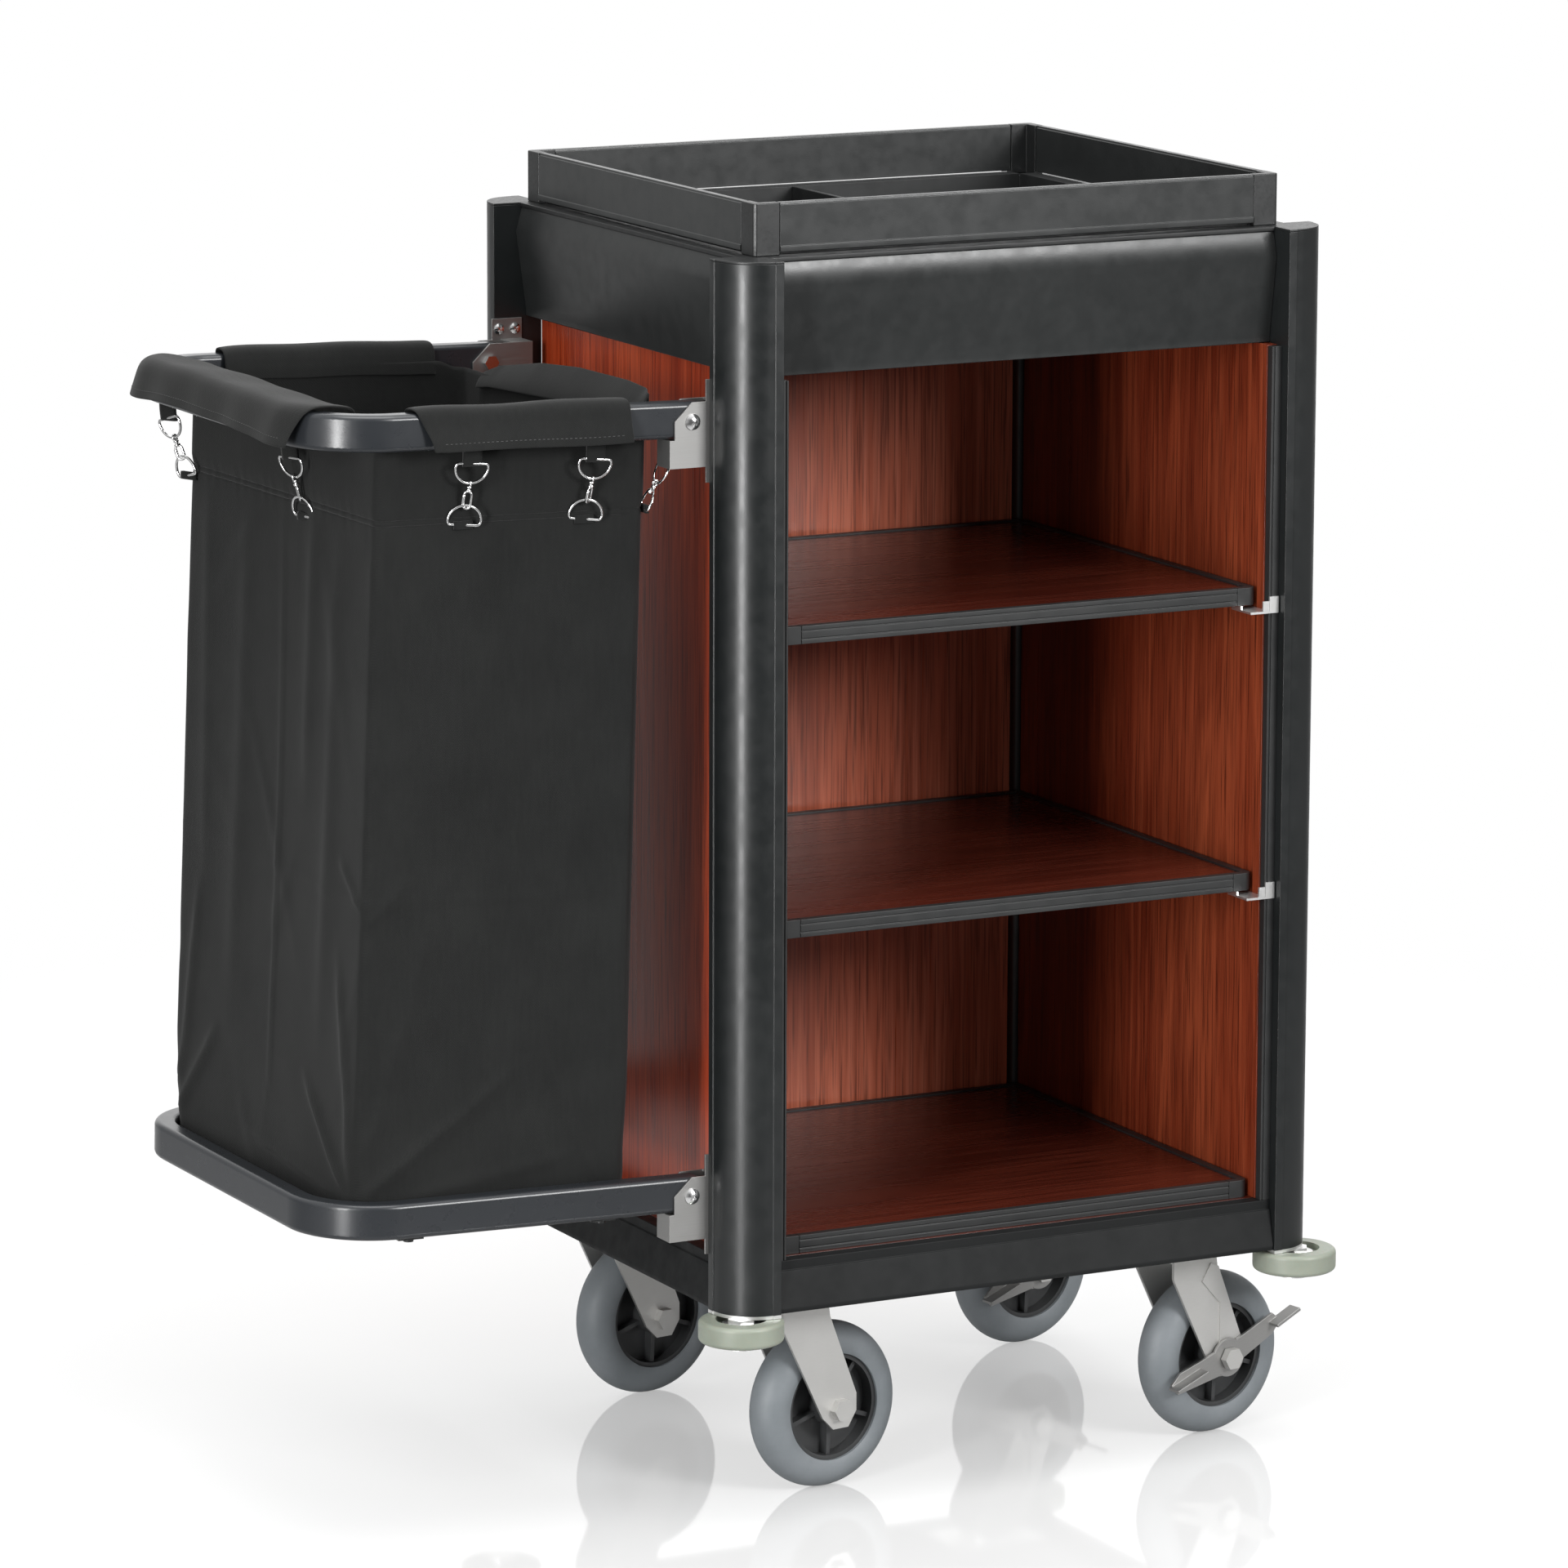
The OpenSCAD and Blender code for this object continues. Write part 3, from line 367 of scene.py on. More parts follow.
FINISH = [
    # nodes, edge rounding, record slot, material
    ([f"post_{c}" for c in CORNERS], 0.0007, "black_coat", "coat"),
    (["post_caps"], 0.0006, "black_plastic", "cap"),
    ([f"fascia_{s}" for s in SIDES], 0.0009, "black_coat", "coat_painted_light_top"),
    (["top_frame"], 0.0006, "black_coat", "coat_painted_shade"),
    (["tray_panels"], 0.0006, "black_coat", "coat_painted_light_top"),
    (["tray_corners"], 0.0009, "black_plastic", "cap"),
    (["tray_bin", "tray_divider"], 0.0006, "black_plastic", "coat_inner"),
    (["left_panel"], 0.0004, "laminate", "wood_left_painted_light"),
    (["right_panel"], 0.0004, "laminate", "wood_right"),
    (["back_panel"], 0.0004, "laminate", "wood_back_painted_light"),
    (["panel_strips"], 0.0004, "black_trim", "trim"),
    (["corner_profiles"], 0.0004, "black_trim", "coat_painted_shade"),
    (["base_rails"], 0.0008, "black_coat", "coat_rail_painted_shade"),
    (["base_beams"], 0.0006, "black_coat", "coat_painted_shade"),
    (["base_deck"], 0.0003, "laminate", "wood_x_y"),
    (["bottom_shelf_board", "middle_shelf_board", "upper_shelf_board"], 0.0004,
     "laminate", "wood_x_y"),
    (["bottom_shelf_trim", "middle_shelf_trim", "upper_shelf_trim"], 0.0005,
     "black_trim", "trim"),
    (["middle_shelf_clips", "upper_shelf_clips"], 0.0004, "zinc_plate", "zinc"),
    ([f"bracket_{h}_{s}" for h in ("upper", "lower") for s in ("front", "back")], 0.0005,
     "stainless", "plate"),
    ([f"fork_{c}" for c in CORNERS], 0.0005, "stainless", "steel"),
    ([f"hub_{c}" for c in CORNERS], 0.0005, "hub_plastic", "hub"),
    ([f"brake_lever_{c}" for c in ("fr", "br")], 0.0006, "zinc_plate", "plate"),
    (["bag_floor"], 0.0004, "black_coat", "coat_painted_shade"),
    (["upper_loop", "lower_loop"], 0.0004, "loop_coat", "loop"),
]
for names, width, slot, material in FINISH:
    for name in names:
        finished(name, BODY_OF[name], width, slot, M[material])

# nodes whose CAD shape is already right, so that only their material changes
KEPT = {"post_feet": "zinc", "bracket_screws": "chrome", "caster_plates": "zinc"}
for c in CORNERS:
    KEPT[f"tyre_{c}"] = "tyre"
    KEPT[f"bumper_{c}"] = "bumper"
for name, material in KEPT.items():
    mesh = NODES[name].data
    mesh.materials.clear()
    mesh.materials.append(M[material])

# ---------------------------------------------------------------- laundry bag


def new_piece(name, vertices, faces, material, smooth=True):
    mesh = bpy.data.meshes.new(name)
    mesh.from_pydata([tuple(v) for v in vertices], [], [tuple(f) for f in faces])
    for polygon in mesh.polygons:
        polygon.use_smooth = smooth
    mesh.materials.append(material)
    piece = bpy.data.objects.new(name, mesh)
    SCENE.collection.objects.link(piece)
    return piece


def grid_faces(rows, columns, closed):
    """Quads of a grid of points, rows after rows; closed joins the last column to the first."""
    faces = []
    for i in range(rows - 1):
        for j in range(columns - (0 if closed else 1)):
            k = (j + 1) % columns
            faces.append((i * columns + j, i * columns + k, (i + 1) * columns + k,
                          (i + 1) * columns + j))
    return faces


def bake(piece):
    """Applies the modifiers, so that the mesh is final."""
    bpy.context.view_layer.update()
    graph = bpy.context.evaluated_depsgraph_get()
    mesh = bpy.data.meshes.new_from_object(piece.evaluated_get(graph))
    piece.modifiers.clear()
    piece.data = mesh
    for polygon in mesh.polygons:
        polygon.use_smooth = True


def thicken(piece, thickness, offset=-1.0, smooth=0):
    solid = piece.modifiers.new("thickness", "SOLIDIFY")
    solid.thickness = thickness
    solid.offset = offset
    if smooth:
        subdivide = piece.modifiers.new("smooth", "SUBSURF")
        subdivide.levels = subdivide.render_levels = smooth
    bake(piece)


# the bag's own sizes, in millimetres from the cart's corner
PIVOT_X = -16.0                                # the loops' pivots
TILT = math.tan(math.radians(1.3))             # the loops rise towards their outer end
ARM_Y = 50.5                                   # outer face of the loop's front arm
ARM_X = -10.0                                  # where the arm's path starts, at the cabinet
REACH, LOOP_R = 370.0, 75.0                    # the loops' reach and outer corner radius
BAR_T, BAR_TOP = 20.0, 998.0                   # the bar's thickness, and its top at the pivot
BAG_Y = (77.0, 453.0)                          # front and back of the bag
BAG_TOP_X, BAG_LOW_X = (-298.0, -47.0), (-327.0, -67.0)   # left and right, at rim and foot
BAG_SKEW = 13.0                                # the left face stands further out at the back
# corner radii at the top and at the foot: front left, back left, back right, front right
BAG_R_TOP, BAG_R_LOW = (7.0, 14.0, 10.0, 9.0), (13.0, 28.0, 20.0, 16.0)
BAG_FOOT, BAG_RIM = 283.0, 985.0
SPLIT_Z = 640.0                                # the two halves of the bag's wall meet here
UPPER_BEND_Z, LOWER_BEND_Z, STILL = 880.0, 330.0, 30.0   # the bends' ends, off the split by STILL
SEAMS = (898.5, 903.5)                         # heights of the two rows of stitches
STITCH, STITCH_STEP = 3.0, 4.4
FLAP_CLOTH, WALL_CLOTH, BASE_CLOTH = 1.7, 1.4, 1.2       # thicknesses
HEM = 8.0                                      # from a flap's edge to its stitches


def rise(x):
    """How much higher the tilted loops are at a distance along the cart."""
    return (PIVOT_X - x) * TILT


def smoothstep(a, b, x):
    t = np.clip((x - a) / (b - a), 0.0, 1.0)
    return t * t * (3.0 - 2.0 * t)


def ridge(s, z, start, end, width, height):
    """A crease along a line on the unrolled bag, fading out towards its two ends."""
    a, b = np.array(start, float), np.array(end, float)
    d = b - a
    t = ((s - a[0]) * d[0] + (z - a[1]) * d[1]) / (d @ d)
    off = np.abs((s - a[0]) * d[1] - (z - a[1]) * d[0]) / math.sqrt(d @ d)
    fade = smoothstep(-0.08, 0.2, t) * smoothstep(1.08, 0.75, t)
    return height * fade / (1.0 + (off / width) ** 2)


def bag_outline(level, count):
    """Points round the bag at a level from 0 (foot) to 1 (rim), outward normals, the run round
    the bag from the front right corner along the front, and how far each point is from the
    corners, 0 to 1."""
    x0 = BAG_LOW_X[0] + (BAG_TOP_X[0] - BAG_LOW_X[0]) * level
    x1 = BAG_LOW_X[1] + (BAG_TOP_X[1] - BAG_LOW_X[1]) * level
    y0, y1 = BAG_Y
    share = float(smoothstep(0.16, 0.06, level))
    ra, rb, rc, rd = (t + (f - t) * share for t, f in zip(BAG_R_TOP, BAG_R_LOW))
    lines = [
        ((x1 - rd, y0), (x0 + ra, y0), (x0 + ra, y0 + ra), 270, (0, -1), ra),
        ((x0, y0 + ra), (x0, y1 - rb), (x0 + rb, y1 - rb), 180, (-1, 0), rb),
        ((x0 + rb, y1), (x1 - rc, y1), (x1 - rc, y1 - rc), 90, (0, 1), rc),
        ((x1, y1 - rc), (x1, y0 + rd), (x1 - rd, y0 + rd), 0, (1, 0), rd),
    ]
    side = count // 4
    turn = max(6, side // 9)
    rows = []
    run = 0.0
    for (sx, sy), (ex, ey), (cx, cy), angle, (nx, ny), r in lines:
        n = side - turn
        length = math.hypot(ex - sx, ey - sy)
        for i in range(n):
            t = i / n
            rows.append((sx + (ex - sx) * t, sy + (ey - sy) * t, nx, ny, run + length * t,
                         math.sin(math.pi * t)))
        run += length
        for i in range(turn):
            a = math.radians(angle - 90.0 * i / turn)
            rows.append((cx + r * math.cos(a), cy + r * math.sin(a), math.cos(a), math.sin(a),
                         run + math.pi / 2 * r * i / turn, 0.0))
        run += math.pi / 2 * r
    table = np.array(rows)
    table[:, 0] -= BAG_SKEW * (table[:, 1] - y0) / (y1 - y0) * (x1 - table[:, 0]) / (x1 - x0)
    return table[:, :2], table[:, 2:4], table[:, 4], table[:, 5]


COUNT, LEVELS = 320, 176                       # points round the wall, and rows up it
RNG = np.random.default_rng(7)
ROUND = 1240.0                                 # girth of the bag


# the run round the bag at a place on one of its four faces
def on_front(x):
    return -72.0 - x


def on_left(y):
    return 160.0 + y


def on_back(x):
    return 928.0 + x


def on_side(y):
    return 1312.0 - y


# small creases: run, height, angle, length, width, how far they stand out
PUCKERS = [(RNG.uniform(0, ROUND), RNG.uniform(330, 880), RNG.uniform(-0.9, 0.9),
            RNG.uniform(40, 120), RNG.uniform(7, 16), RNG.uniform(-0.9, 1.1)) for _ in range(46)]
FOLDS = [
    # upright folds below the hooks and pressed creases: start, end, width, height
    ((on_front(-222), 900), (on_front(-214), 640), 11.0, 2.4),
    ((on_front(-109), 900), (on_front(-118), 620), 11.0, 2.0),
    ((on_front(-172), 908), (on_front(-176), 330), 1.8, 2.2),
    ((on_front(-60), 900), (on_front(-84), 360), 9.0, 2.0),
    ((on_left(200), 900), (on_left(212), 640), 11.0, 2.6),
    ((on_left(150), 890), (on_left(170), 420), 14.0, 2.6),
    ((on_left(262), 900), (on_left(266), 330), 2.2, 1.8),
    ((on_left(330), 890), (on_left(350), 420), 16.0, 2.8),
    ((on_left(410), 900), (on_left(404), 520), 12.0, 2.4),
    ((on_back(-220), 900), (on_back(-214), 600), 12.0, 2.4),
    ((on_back(-120), 900), (on_back(-126), 600), 12.0, 2.4),
    ((on_side(380), 890), (on_side(370), 420), 16.0, 2.6),
    ((on_side(265), 900), (on_side(262), 330), 2.4, 1.6),
    ((on_side(150), 890), (on_side(160), 420), 16.0, 2.6),
    # the bag was folded across its middle
    ((on_front(-80), 566), (on_left(440), 578), 2.6, 0.9),
    ((on_back(-300), 578), (on_side(100), 566), 2.6, 0.9),
    # drag folds towards the lower corners
    ((on_front(-312), 312), (on_front(-172), 418), 4.5, 6.0),
    ((on_front(-318), 330), (on_front(-246), 590), 7.0, 3.4),
    ((on_front(-308), 302), (on_front(-110), 336), 6.0, 2.8),
    ((on_front(-84), 306), (on_front(-150), 430), 6.0, 2.8),
    ((on_front(-316), 872), (on_front(-286), 720), 7.0, 2.6),
    ((on_front(-318), 552), (on_front(-276), 592), 3.4, 2.8),
    ((on_left(96), 308), (on_left(300), 330), 4.5, 4.0),
    ((on_left(94), 314), (on_left(196), 402), 4.5, 4.6),
    ((on_left(92), 330), (on_left(134), 520), 6.0, 3.4),
    ((on_left(90), 566), (on_left(136), 604), 3.4, 2.4),
    ((on_left(438), 312), (on_left(372), 410), 5.0, 4.0),
    ((on_left(442), 320), (on_left(412), 540), 6.0, 3.2),
    ((on_back(-318), 310), (on_back(-230), 430), 6.0, 4.0),
    ((on_back(-88), 310), (on_back(-160), 430), 6.0, 4.0),
    ((on_side(436), 310), (on_side(340), 430), 6.0, 4.0),
    ((on_side(94), 310), (on_side(190), 430), 6.0, 4.0),
]


def bag_relief(s, z, across):
    """How far the cloth stands out from the plain loft, in millimetres."""
    up = (z - BAG_FOOT) / (BAG_RIM - BAG_FOOT)
    # faces sag inwards a little at mid height and are held out by the floor and the rim
    lift = -5.0 * across * np.sin(math.pi * np.clip(up, 0, 1)) ** 1.2
    for start, end, width, height in FOLDS:
        lift += ridge(s, z, start, end, width, height)
    for cs, cz, angle, length, width, height in PUCKERS:
        along = (s - cs) * math.sin(angle) + (z - cz) * math.cos(angle)
        off = (s - cs) * math.cos(angle) - (z - cz) * math.sin(angle)
        lift += height * np.exp(-(off / width) ** 2 - (along / length) ** 2)
    # the double hem below the flaps: pulled in at its seams, puffed above them
    for seam in SEAMS:
        lift -= 1.3 * np.exp(-((z - seam) / 1.1) ** 2)
    middle = (SEAMS[0] + SEAMS[1]) / 2
    lift += 0.5 * np.sin(s / 2.6) * np.sin(s / 17.0) * np.exp(-((z - middle) / 11.0) ** 2)
    lift += 1.4 * smoothstep(SEAMS[1] + 1, SEAMS[1] + 9, z) * smoothstep(BAG_RIM, BAG_RIM - 20, z)
    return lift


def rim_offset(x, y):
    """The rim dips along the cart side, where nothing holds it."""
    return smoothstep(-70, -52, x) * np.interp(y, (100, 236, 385), (9.0, 1.0, -6.0))


def bag_ring(level):
    """The bag's wall at one level, and the outward normals there."""
    points, normals, s, across = bag_outline(level, COUNT)
    x, y = points.T
    height = BAG_FOOT + (BAG_RIM + rim_offset(x, y) - BAG_FOOT) * level
    lift = bag_relief(s, height, across) * smoothstep(0.0, 0.03, level)
    lift *= smoothstep(1.0, 0.96, level) if level > 0.96 else 1.0
    # the foot tucks in towards the bottom panel
    tuck = 5.0 * (1.0 - smoothstep(0.0, 0.02, level))
    moved = points + normals * (lift - tuck)[:, None]
    return np.column_stack([moved, height + rise(x)]), np.column_stack([normals, 0.0 * x])


def split_wall(piece, height, keep_upper):
    """Keeps the part of the wall over or under a height, with the whole wall's shading."""
    mesh = piece.data
    shading = {tuple(round(c, 6) for c in v.co): v.normal.copy() for v in mesh.vertices}
    bm = bmesh.new()
    bm.from_mesh(mesh)
    gone = [f for f in bm.faces if (f.calc_center_median().z > height) != keep_upper]
    bmesh.ops.delete(bm, geom=gone, context="FACES")
    bmesh.ops.bridge_loops(bm, edges=[e for e in bm.edges if e.is_boundary])
    bm.to_mesh(mesh)
    bm.free()
    mesh.normals_split_custom_set_from_vertices(
        [shading[tuple(round(c, 6) for c in v.co)] for v in mesh.vertices])


def wall_levels():
    """Levels of the wall's rows, closer together at the seams."""
    rows = list(np.linspace(0.0, 1.0, LEVELS))
    for seam in SEAMS:
        rows += [(seam + d - BAG_FOOT) / (BAG_RIM - BAG_FOOT)
                 for d in (-2.4, -1.5, -0.7, 0.0, 0.7, 1.5, 2.4)]
    return sorted(rows)


def make_bag_wall():
    """The bag's wall in two halves, cut apart at the split; each comes with its height and the
    pieces it
    meets: the flaps over it, or the bag's base under it."""
    for name, body, upper, end_z in (
            ("bag_wall_upper", "upper_frame", True, UPPER_BEND_Z),
            ("bag_wall_lower", "lower_frame", False, LOWER_BEND_Z)):
        levels = wall_levels()
        rows = [cart(*p) for level in levels for p in bag_ring(level)[0]]
        piece = new_piece(name, rows, grid_faces(len(levels), COUNT, True), M["canvas"])
        thicken(piece, WALL_CLOTH * MM)
        split_wall(piece, SPLIT_Z * MM, upper)
        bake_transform(piece)
        height = (BAG_RIM - SPLIT_Z if upper else SPLIT_Z - BAG_FOOT) * MM
        hold = ["bag_flap_front", "bag_flap_left", "bag_flap_back"] if upper else ["bag_base"]
        yield piece, height, hold


def bar_path(count):
    """Points along the loop bar's inner face with outward normals, front arm to back arm."""
    r_in = LOOP_R - BAR_T
    back = WIDTH / MM - ARM_Y
    turn_x, turn_y = LOOP_R - REACH, ARM_Y + LOOP_R
    rows = []
    for t in np.linspace(0, 1, count):
        rows.append((ARM_X + (turn_x - ARM_X) * t, ARM_Y + BAR_T, 0.0, -1.0))
    for t in np.linspace(0, 1, count)[1:]:
        a = math.radians(270.0 - 90.0 * t)
        rows.append((turn_x + r_in * math.cos(a), turn_y + r_in * math.sin(a),
                     math.cos(a), math.sin(a)))
    for t in np.linspace(0, 1, count)[1:]:
        rows.append((BAR_T - REACH, turn_y + (back - LOOP_R - turn_y) * t, -1.0, 0.0))
    for t in np.linspace(0, 1, count)[1:]:
        a = math.radians(180.0 - 90.0 * t)
        rows.append((turn_x + r_in * math.cos(a), back - LOOP_R + r_in * math.sin(a),
                     math.cos(a), math.sin(a)))
    for t in np.linspace(0, 1, count)[1:]:
        rows.append((turn_x + (ARM_X - turn_x) * t, back - BAR_T, 0.0, 1.0))
    return np.array(rows)


PATH = bar_path(60)
PATH_RUN = np.concatenate([[0.0], np.cumsum(np.linalg.norm(np.diff(PATH[:, :2], axis=0), axis=1))])


def path_at(run):
    """Places and outward normals along the bar's inner face at distances along it."""
    place = np.stack([np.interp(run, PATH_RUN, PATH[:, i]) for i in (0, 1)], axis=1)
    normal = np.stack([np.interp(run, PATH_RUN, PATH[:, i]) for i in (2, 3)], axis=1)
    return place, normal / np.linalg.norm(normal, axis=1)[:, None]


# the flaps' sections: outward distance from the bar's inner face, and height over its top
SHORT_SECTION = [
    (-5.5, -24.0), (-5.0, -14.0), (-3.6, -5.5), (-1.6, 0.6), (1.6, 2.8), (5.5, 3.7),
    (10.0, 4.0), (14.5, 3.5), (17.7, 2.4), (19.8, 0.2), (20.8, -4.0), (21.6, -10.0),
    (22.8, -16.0), (24.2, -21.0), (25.4, -26.0), (26.2, -31.5),
]
LONG_SECTION = [
    (-47.0, -20.0), (-46.0, -11.0), (-43.0, -4.6), (-37.0, -2.0), (-28.0, -0.2), (-18.0, 1.4),
    (-8.0, 2.8), (0.0, 3.8), (6.0, 4.4), (12.0, 4.6), (17.0, 3.4), (21.0, 0.4), (23.2, -4.4),
    (24.6, -10.0), (26.0, -16.0), (27.6, -22.0), (29.0, -27.5),
]


def smooth_section(section, count):
    """A section's points evenly spaced and rounded off, the run to each, and the whole run."""
    pts = np.array(section, float)
    run = np.concatenate([[0.0], np.cumsum(np.linalg.norm(np.diff(pts, axis=0), axis=1))])
    at = np.linspace(0.0, run[-1], count)
    near = np.clip(at[:, None] + np.linspace(-1.6, 1.6, 5)[None, :], 0.0, run[-1])
    soft = np.stack([np.interp(near, run, pts[:, i]).mean(axis=1) for i in (0, 1)], axis=1)
    return soft, at, run[-1]


def make_flap(name, section, start, end, flare, slant, hem, phase):
    """A flap of the bag folded over the bar between two lengths along it. Its ends flare out and
    slant inwards towards the edge; hem is how much lower the edge hangs along its length."""
    length = end - start
    columns = max(24, int(length / 3.6))
    t = np.linspace(0.0, 1.0, columns)
    outline, drop, depth = smooth_section(section, 56)
    fall = smoothstep(0.45 * depth, depth, drop)
    rows = []
    for (out, up), f in zip(outline, fall):
        at = start + slant[0] * f + (length - (slant[0] + slant[1]) * f) * t
        place, normal = path_at(at)
        wave = (1.1 * np.sin(at / 31.0 + phase) + 0.7 * np.sin(at / 12.0 + 2.1 * phase)) * f * f
        near_end = np.exp(-t * length / 34.0) + np.exp(-(1 - t) * length / 34.0)
        puff = (0.8 * np.sin(at / 47.0 + phase * 1.7) + 0.5 * np.sin(at / 17.0)) * (1.0 - f)
        curl = 1.2 * np.exp(-t * length / 10.0) + 1.2 * np.exp(-(1 - t) * length / 10.0)
        spread = out + wave + (flare * near_end + 1.0) * f ** 1.5
        points = place + normal * spread[:, None]
        sag = np.interp(t, np.linspace(0, 1, len(hem)), hem) * f
        height = BAR_TOP + up + puff - sag - curl * (1 - f) + 0.6 * np.sin(at / 23.0 + phase) * f
        rows.append(np.column_stack([points, height + rise(points[:, 0])]))
    grid = np.array(rows)
    piece = new_piece(name, [cart(*p) for row in grid for p in row],
                      grid_faces(len(grid), columns, False), M["canvas"])
    thicken(piece, FLAP_CLOTH * MM, 1.0, 1)
    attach(piece, "upper_frame")
    line = grid[int(np.argmin(np.abs(drop - (depth - HEM))))]
    normal = path_at(start + length * t)[1]
    return piece, depth, length, line, np.column_stack([normal, 0.0 * t])


def make_inner_flap():
    """The loose flap on the cart side: no bar holds it, so it arches up and folds outwards."""
    count = 96
    y = np.linspace(75.0, 412.0, count)
    t = (y - y[0]) / (y[-1] - y[0])
    ends = smoothstep(0.0, 0.08, t) * smoothstep(1.0, 0.9, t)
    edge_z = np.interp(y, (100, 236, 385, 420), (992.0, 984.0, 977.0, 972.0)) - 7.0
    crest_z = np.interp(y, (75, 134, 232, 310, 390, 412), (1005, 1009, 1008, 1002, 989, 980))
    rows = []
    section = np.linspace(0.0, 1.0, 34)
    for v in section:
        roll = math.pi * min(1.0, v / 0.55)
        out = 9.0 * (1.0 - math.cos(roll)) * (0.45 + 0.55 * ends) + 0.8
        climb = math.sin(roll / 2.0) ** 1.2 if v < 0.55 else 1.0
        hang = max(0.0, (v - 0.45) / 0.55)
        top = edge_z + (crest_z - edge_z) * climb
        z = top - 36.0 * hang ** 1.25 * (0.5 + 0.5 * ends) + 0.8 * np.sin(y / 19.0) * hang
        x = -53.0 + out + 1.5 * np.sin(y / 26.0) * hang
        rows.append(np.column_stack([x, y, z]))
    grid = np.array(rows)
    piece = new_piece("bag_flap_inner", [cart(*p) for row in grid for p in row],
                      grid_faces(len(grid), count, False), M["canvas"])
    thicken(piece, FLAP_CLOTH * MM, 1.0, 1)
    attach(piece, "upper_frame")
    return piece, grid[-6], np.tile((1.0, 0.0, 0.0), (count, 1))


def make_bag_base():
    """The bag's bottom panel, lying on the floor plate."""
    points = bag_ring(0.0)[0]
    middle = points.mean(axis=0)
    rows = []
    rings, inset = 18, 0.985
    for i in range(rings):
        share = 1.0 - i / (rings - 1) * inset
        ring = middle + (points - middle) * share * inset
        ring[:, 2] += 1.2 + 0.5 * np.sin(ring[:, 0] / 21.0) * np.sin(ring[:, 1] / 27.0)
        rows += [cart(*p) for p in ring]
    piece = new_piece("bag_base", rows, grid_faces(rings, COUNT, True), M["canvas"])
    thicken(piece, BASE_CLOTH * MM, 1.0)
    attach(piece, "lower_frame")
    return piece


def stitches(line, normals, closed, off):
    """Threads along a line of points: short dashes standing a little out of the cloth."""
    if closed:
        line, normals = np.vstack([line, line[:1]]), np.vstack([normals, normals[:1]])
    run = np.concatenate([[0.0], np.cumsum(np.linalg.norm(np.diff(line, axis=0), axis=1))])
    parts = []
    for start in np.arange(STITCH_STEP / 2, run[-1] - STITCH, STITCH_STEP):
        ends = [np.array([np.interp(start + d, run, line[:, i]) for i in range(3)])
                for d in (0.0, STITCH)]
        n = np.array([np.interp(start, run, normals[:, i]) for i in range(3)])
        n = Vector(n / np.linalg.norm(n))
        a, b = (cart(*e) + n * off * MM for e in ends)
        along = (b - a).normalized()
        across = along.cross(n).normalized() * 0.42 * MM
        up = n * 0.34 * MM
        dip = n * 0.5 * MM
        verts = [a - dip, b - dip]
        for t in (0.16, 0.84):
            c = a.lerp(b, t)
            verts += [c - across, c + up, c + across]
        parts.append((verts, [(0, 3, 2), (0, 4, 3), (2, 3, 6, 5), (3, 4, 7, 6),
                              (1, 5, 6), (1, 6, 7)]))
    return parts


def make_soft_goods():
    """The canvas pieces and their threads."""
    arm_run = ARM_X - (LOOP_R - REACH)
    corner_run = math.pi / 2 * (LOOP_R - BAR_T)
    side_run = WIDTH / MM - 2 * (ARM_Y + LOOP_R)
    left_from = arm_run + corner_run * 52.0 / 90.0
    left_to = arm_run + corner_run + side_run + corner_run * 55.0 / 90.0
    whole = PATH_RUN[-1]
    threads = []
    for name, section, start, end, flare, slant, hem, phase in (
            ("bag_flap_front", SHORT_SECTION, 65.0, 268.0, 0.6, (0.0, 14.0),
             (0.5, 1.5, 1.5, 0.5), 0.3),
            ("bag_flap_left", LONG_SECTION, left_from, left_to, 5.0, (16.0, 8.0),
             (3.0, 1.0, -1.6, -1.2, 3.0), 1.1),
            ("bag_flap_back", SHORT_SECTION, whole - 268.0, whole - 62.0, 0.6, (8.0, 0.0),
             (0.5, 1.5, 1.5, 0.5), 2.0)):
        piece, depth, length, line, normal = make_flap(
            name, section, start, end, flare, slant, hem, phase)
        threads += stitches(line[2:-2], normal[2:-2], False, FLAP_CLOTH)
    inner, line, normal = make_inner_flap()
    threads += stitches(line[3:-3], normal[3:-3], False, FLAP_CLOTH)
    base = make_bag_base()
    for piece, height, hold in make_bag_wall():
        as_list(hold)
        if piece.name == "bag_wall_upper":
            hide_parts("laundry_bag")
    for seam in SEAMS:
        level = (seam - BAG_FOOT) / (BAG_RIM - BAG_FOOT)
        threads += stitches(*bag_ring(level), True, 0.45)
    thread = new_piece("bag_stitches", *joined(threads), M["thread"], False)
    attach(thread, "upper_frame")


# ---------------------------------------------------------------- hooks

RING_HALF, RING_BAR, RING_BOW = 14.8, 4.0, 14.2   # half width, straight part, bow
RING_WIRE, EYE_WIRE, HOOK_WIRE, GATE_WIRE = 1.25, 1.1, 1.15, 1.6   # radii
HOOK_R = 3.3                                   # radius of the snap hook's two ends
TAB_W, TAB_T = 17.0, 1.5


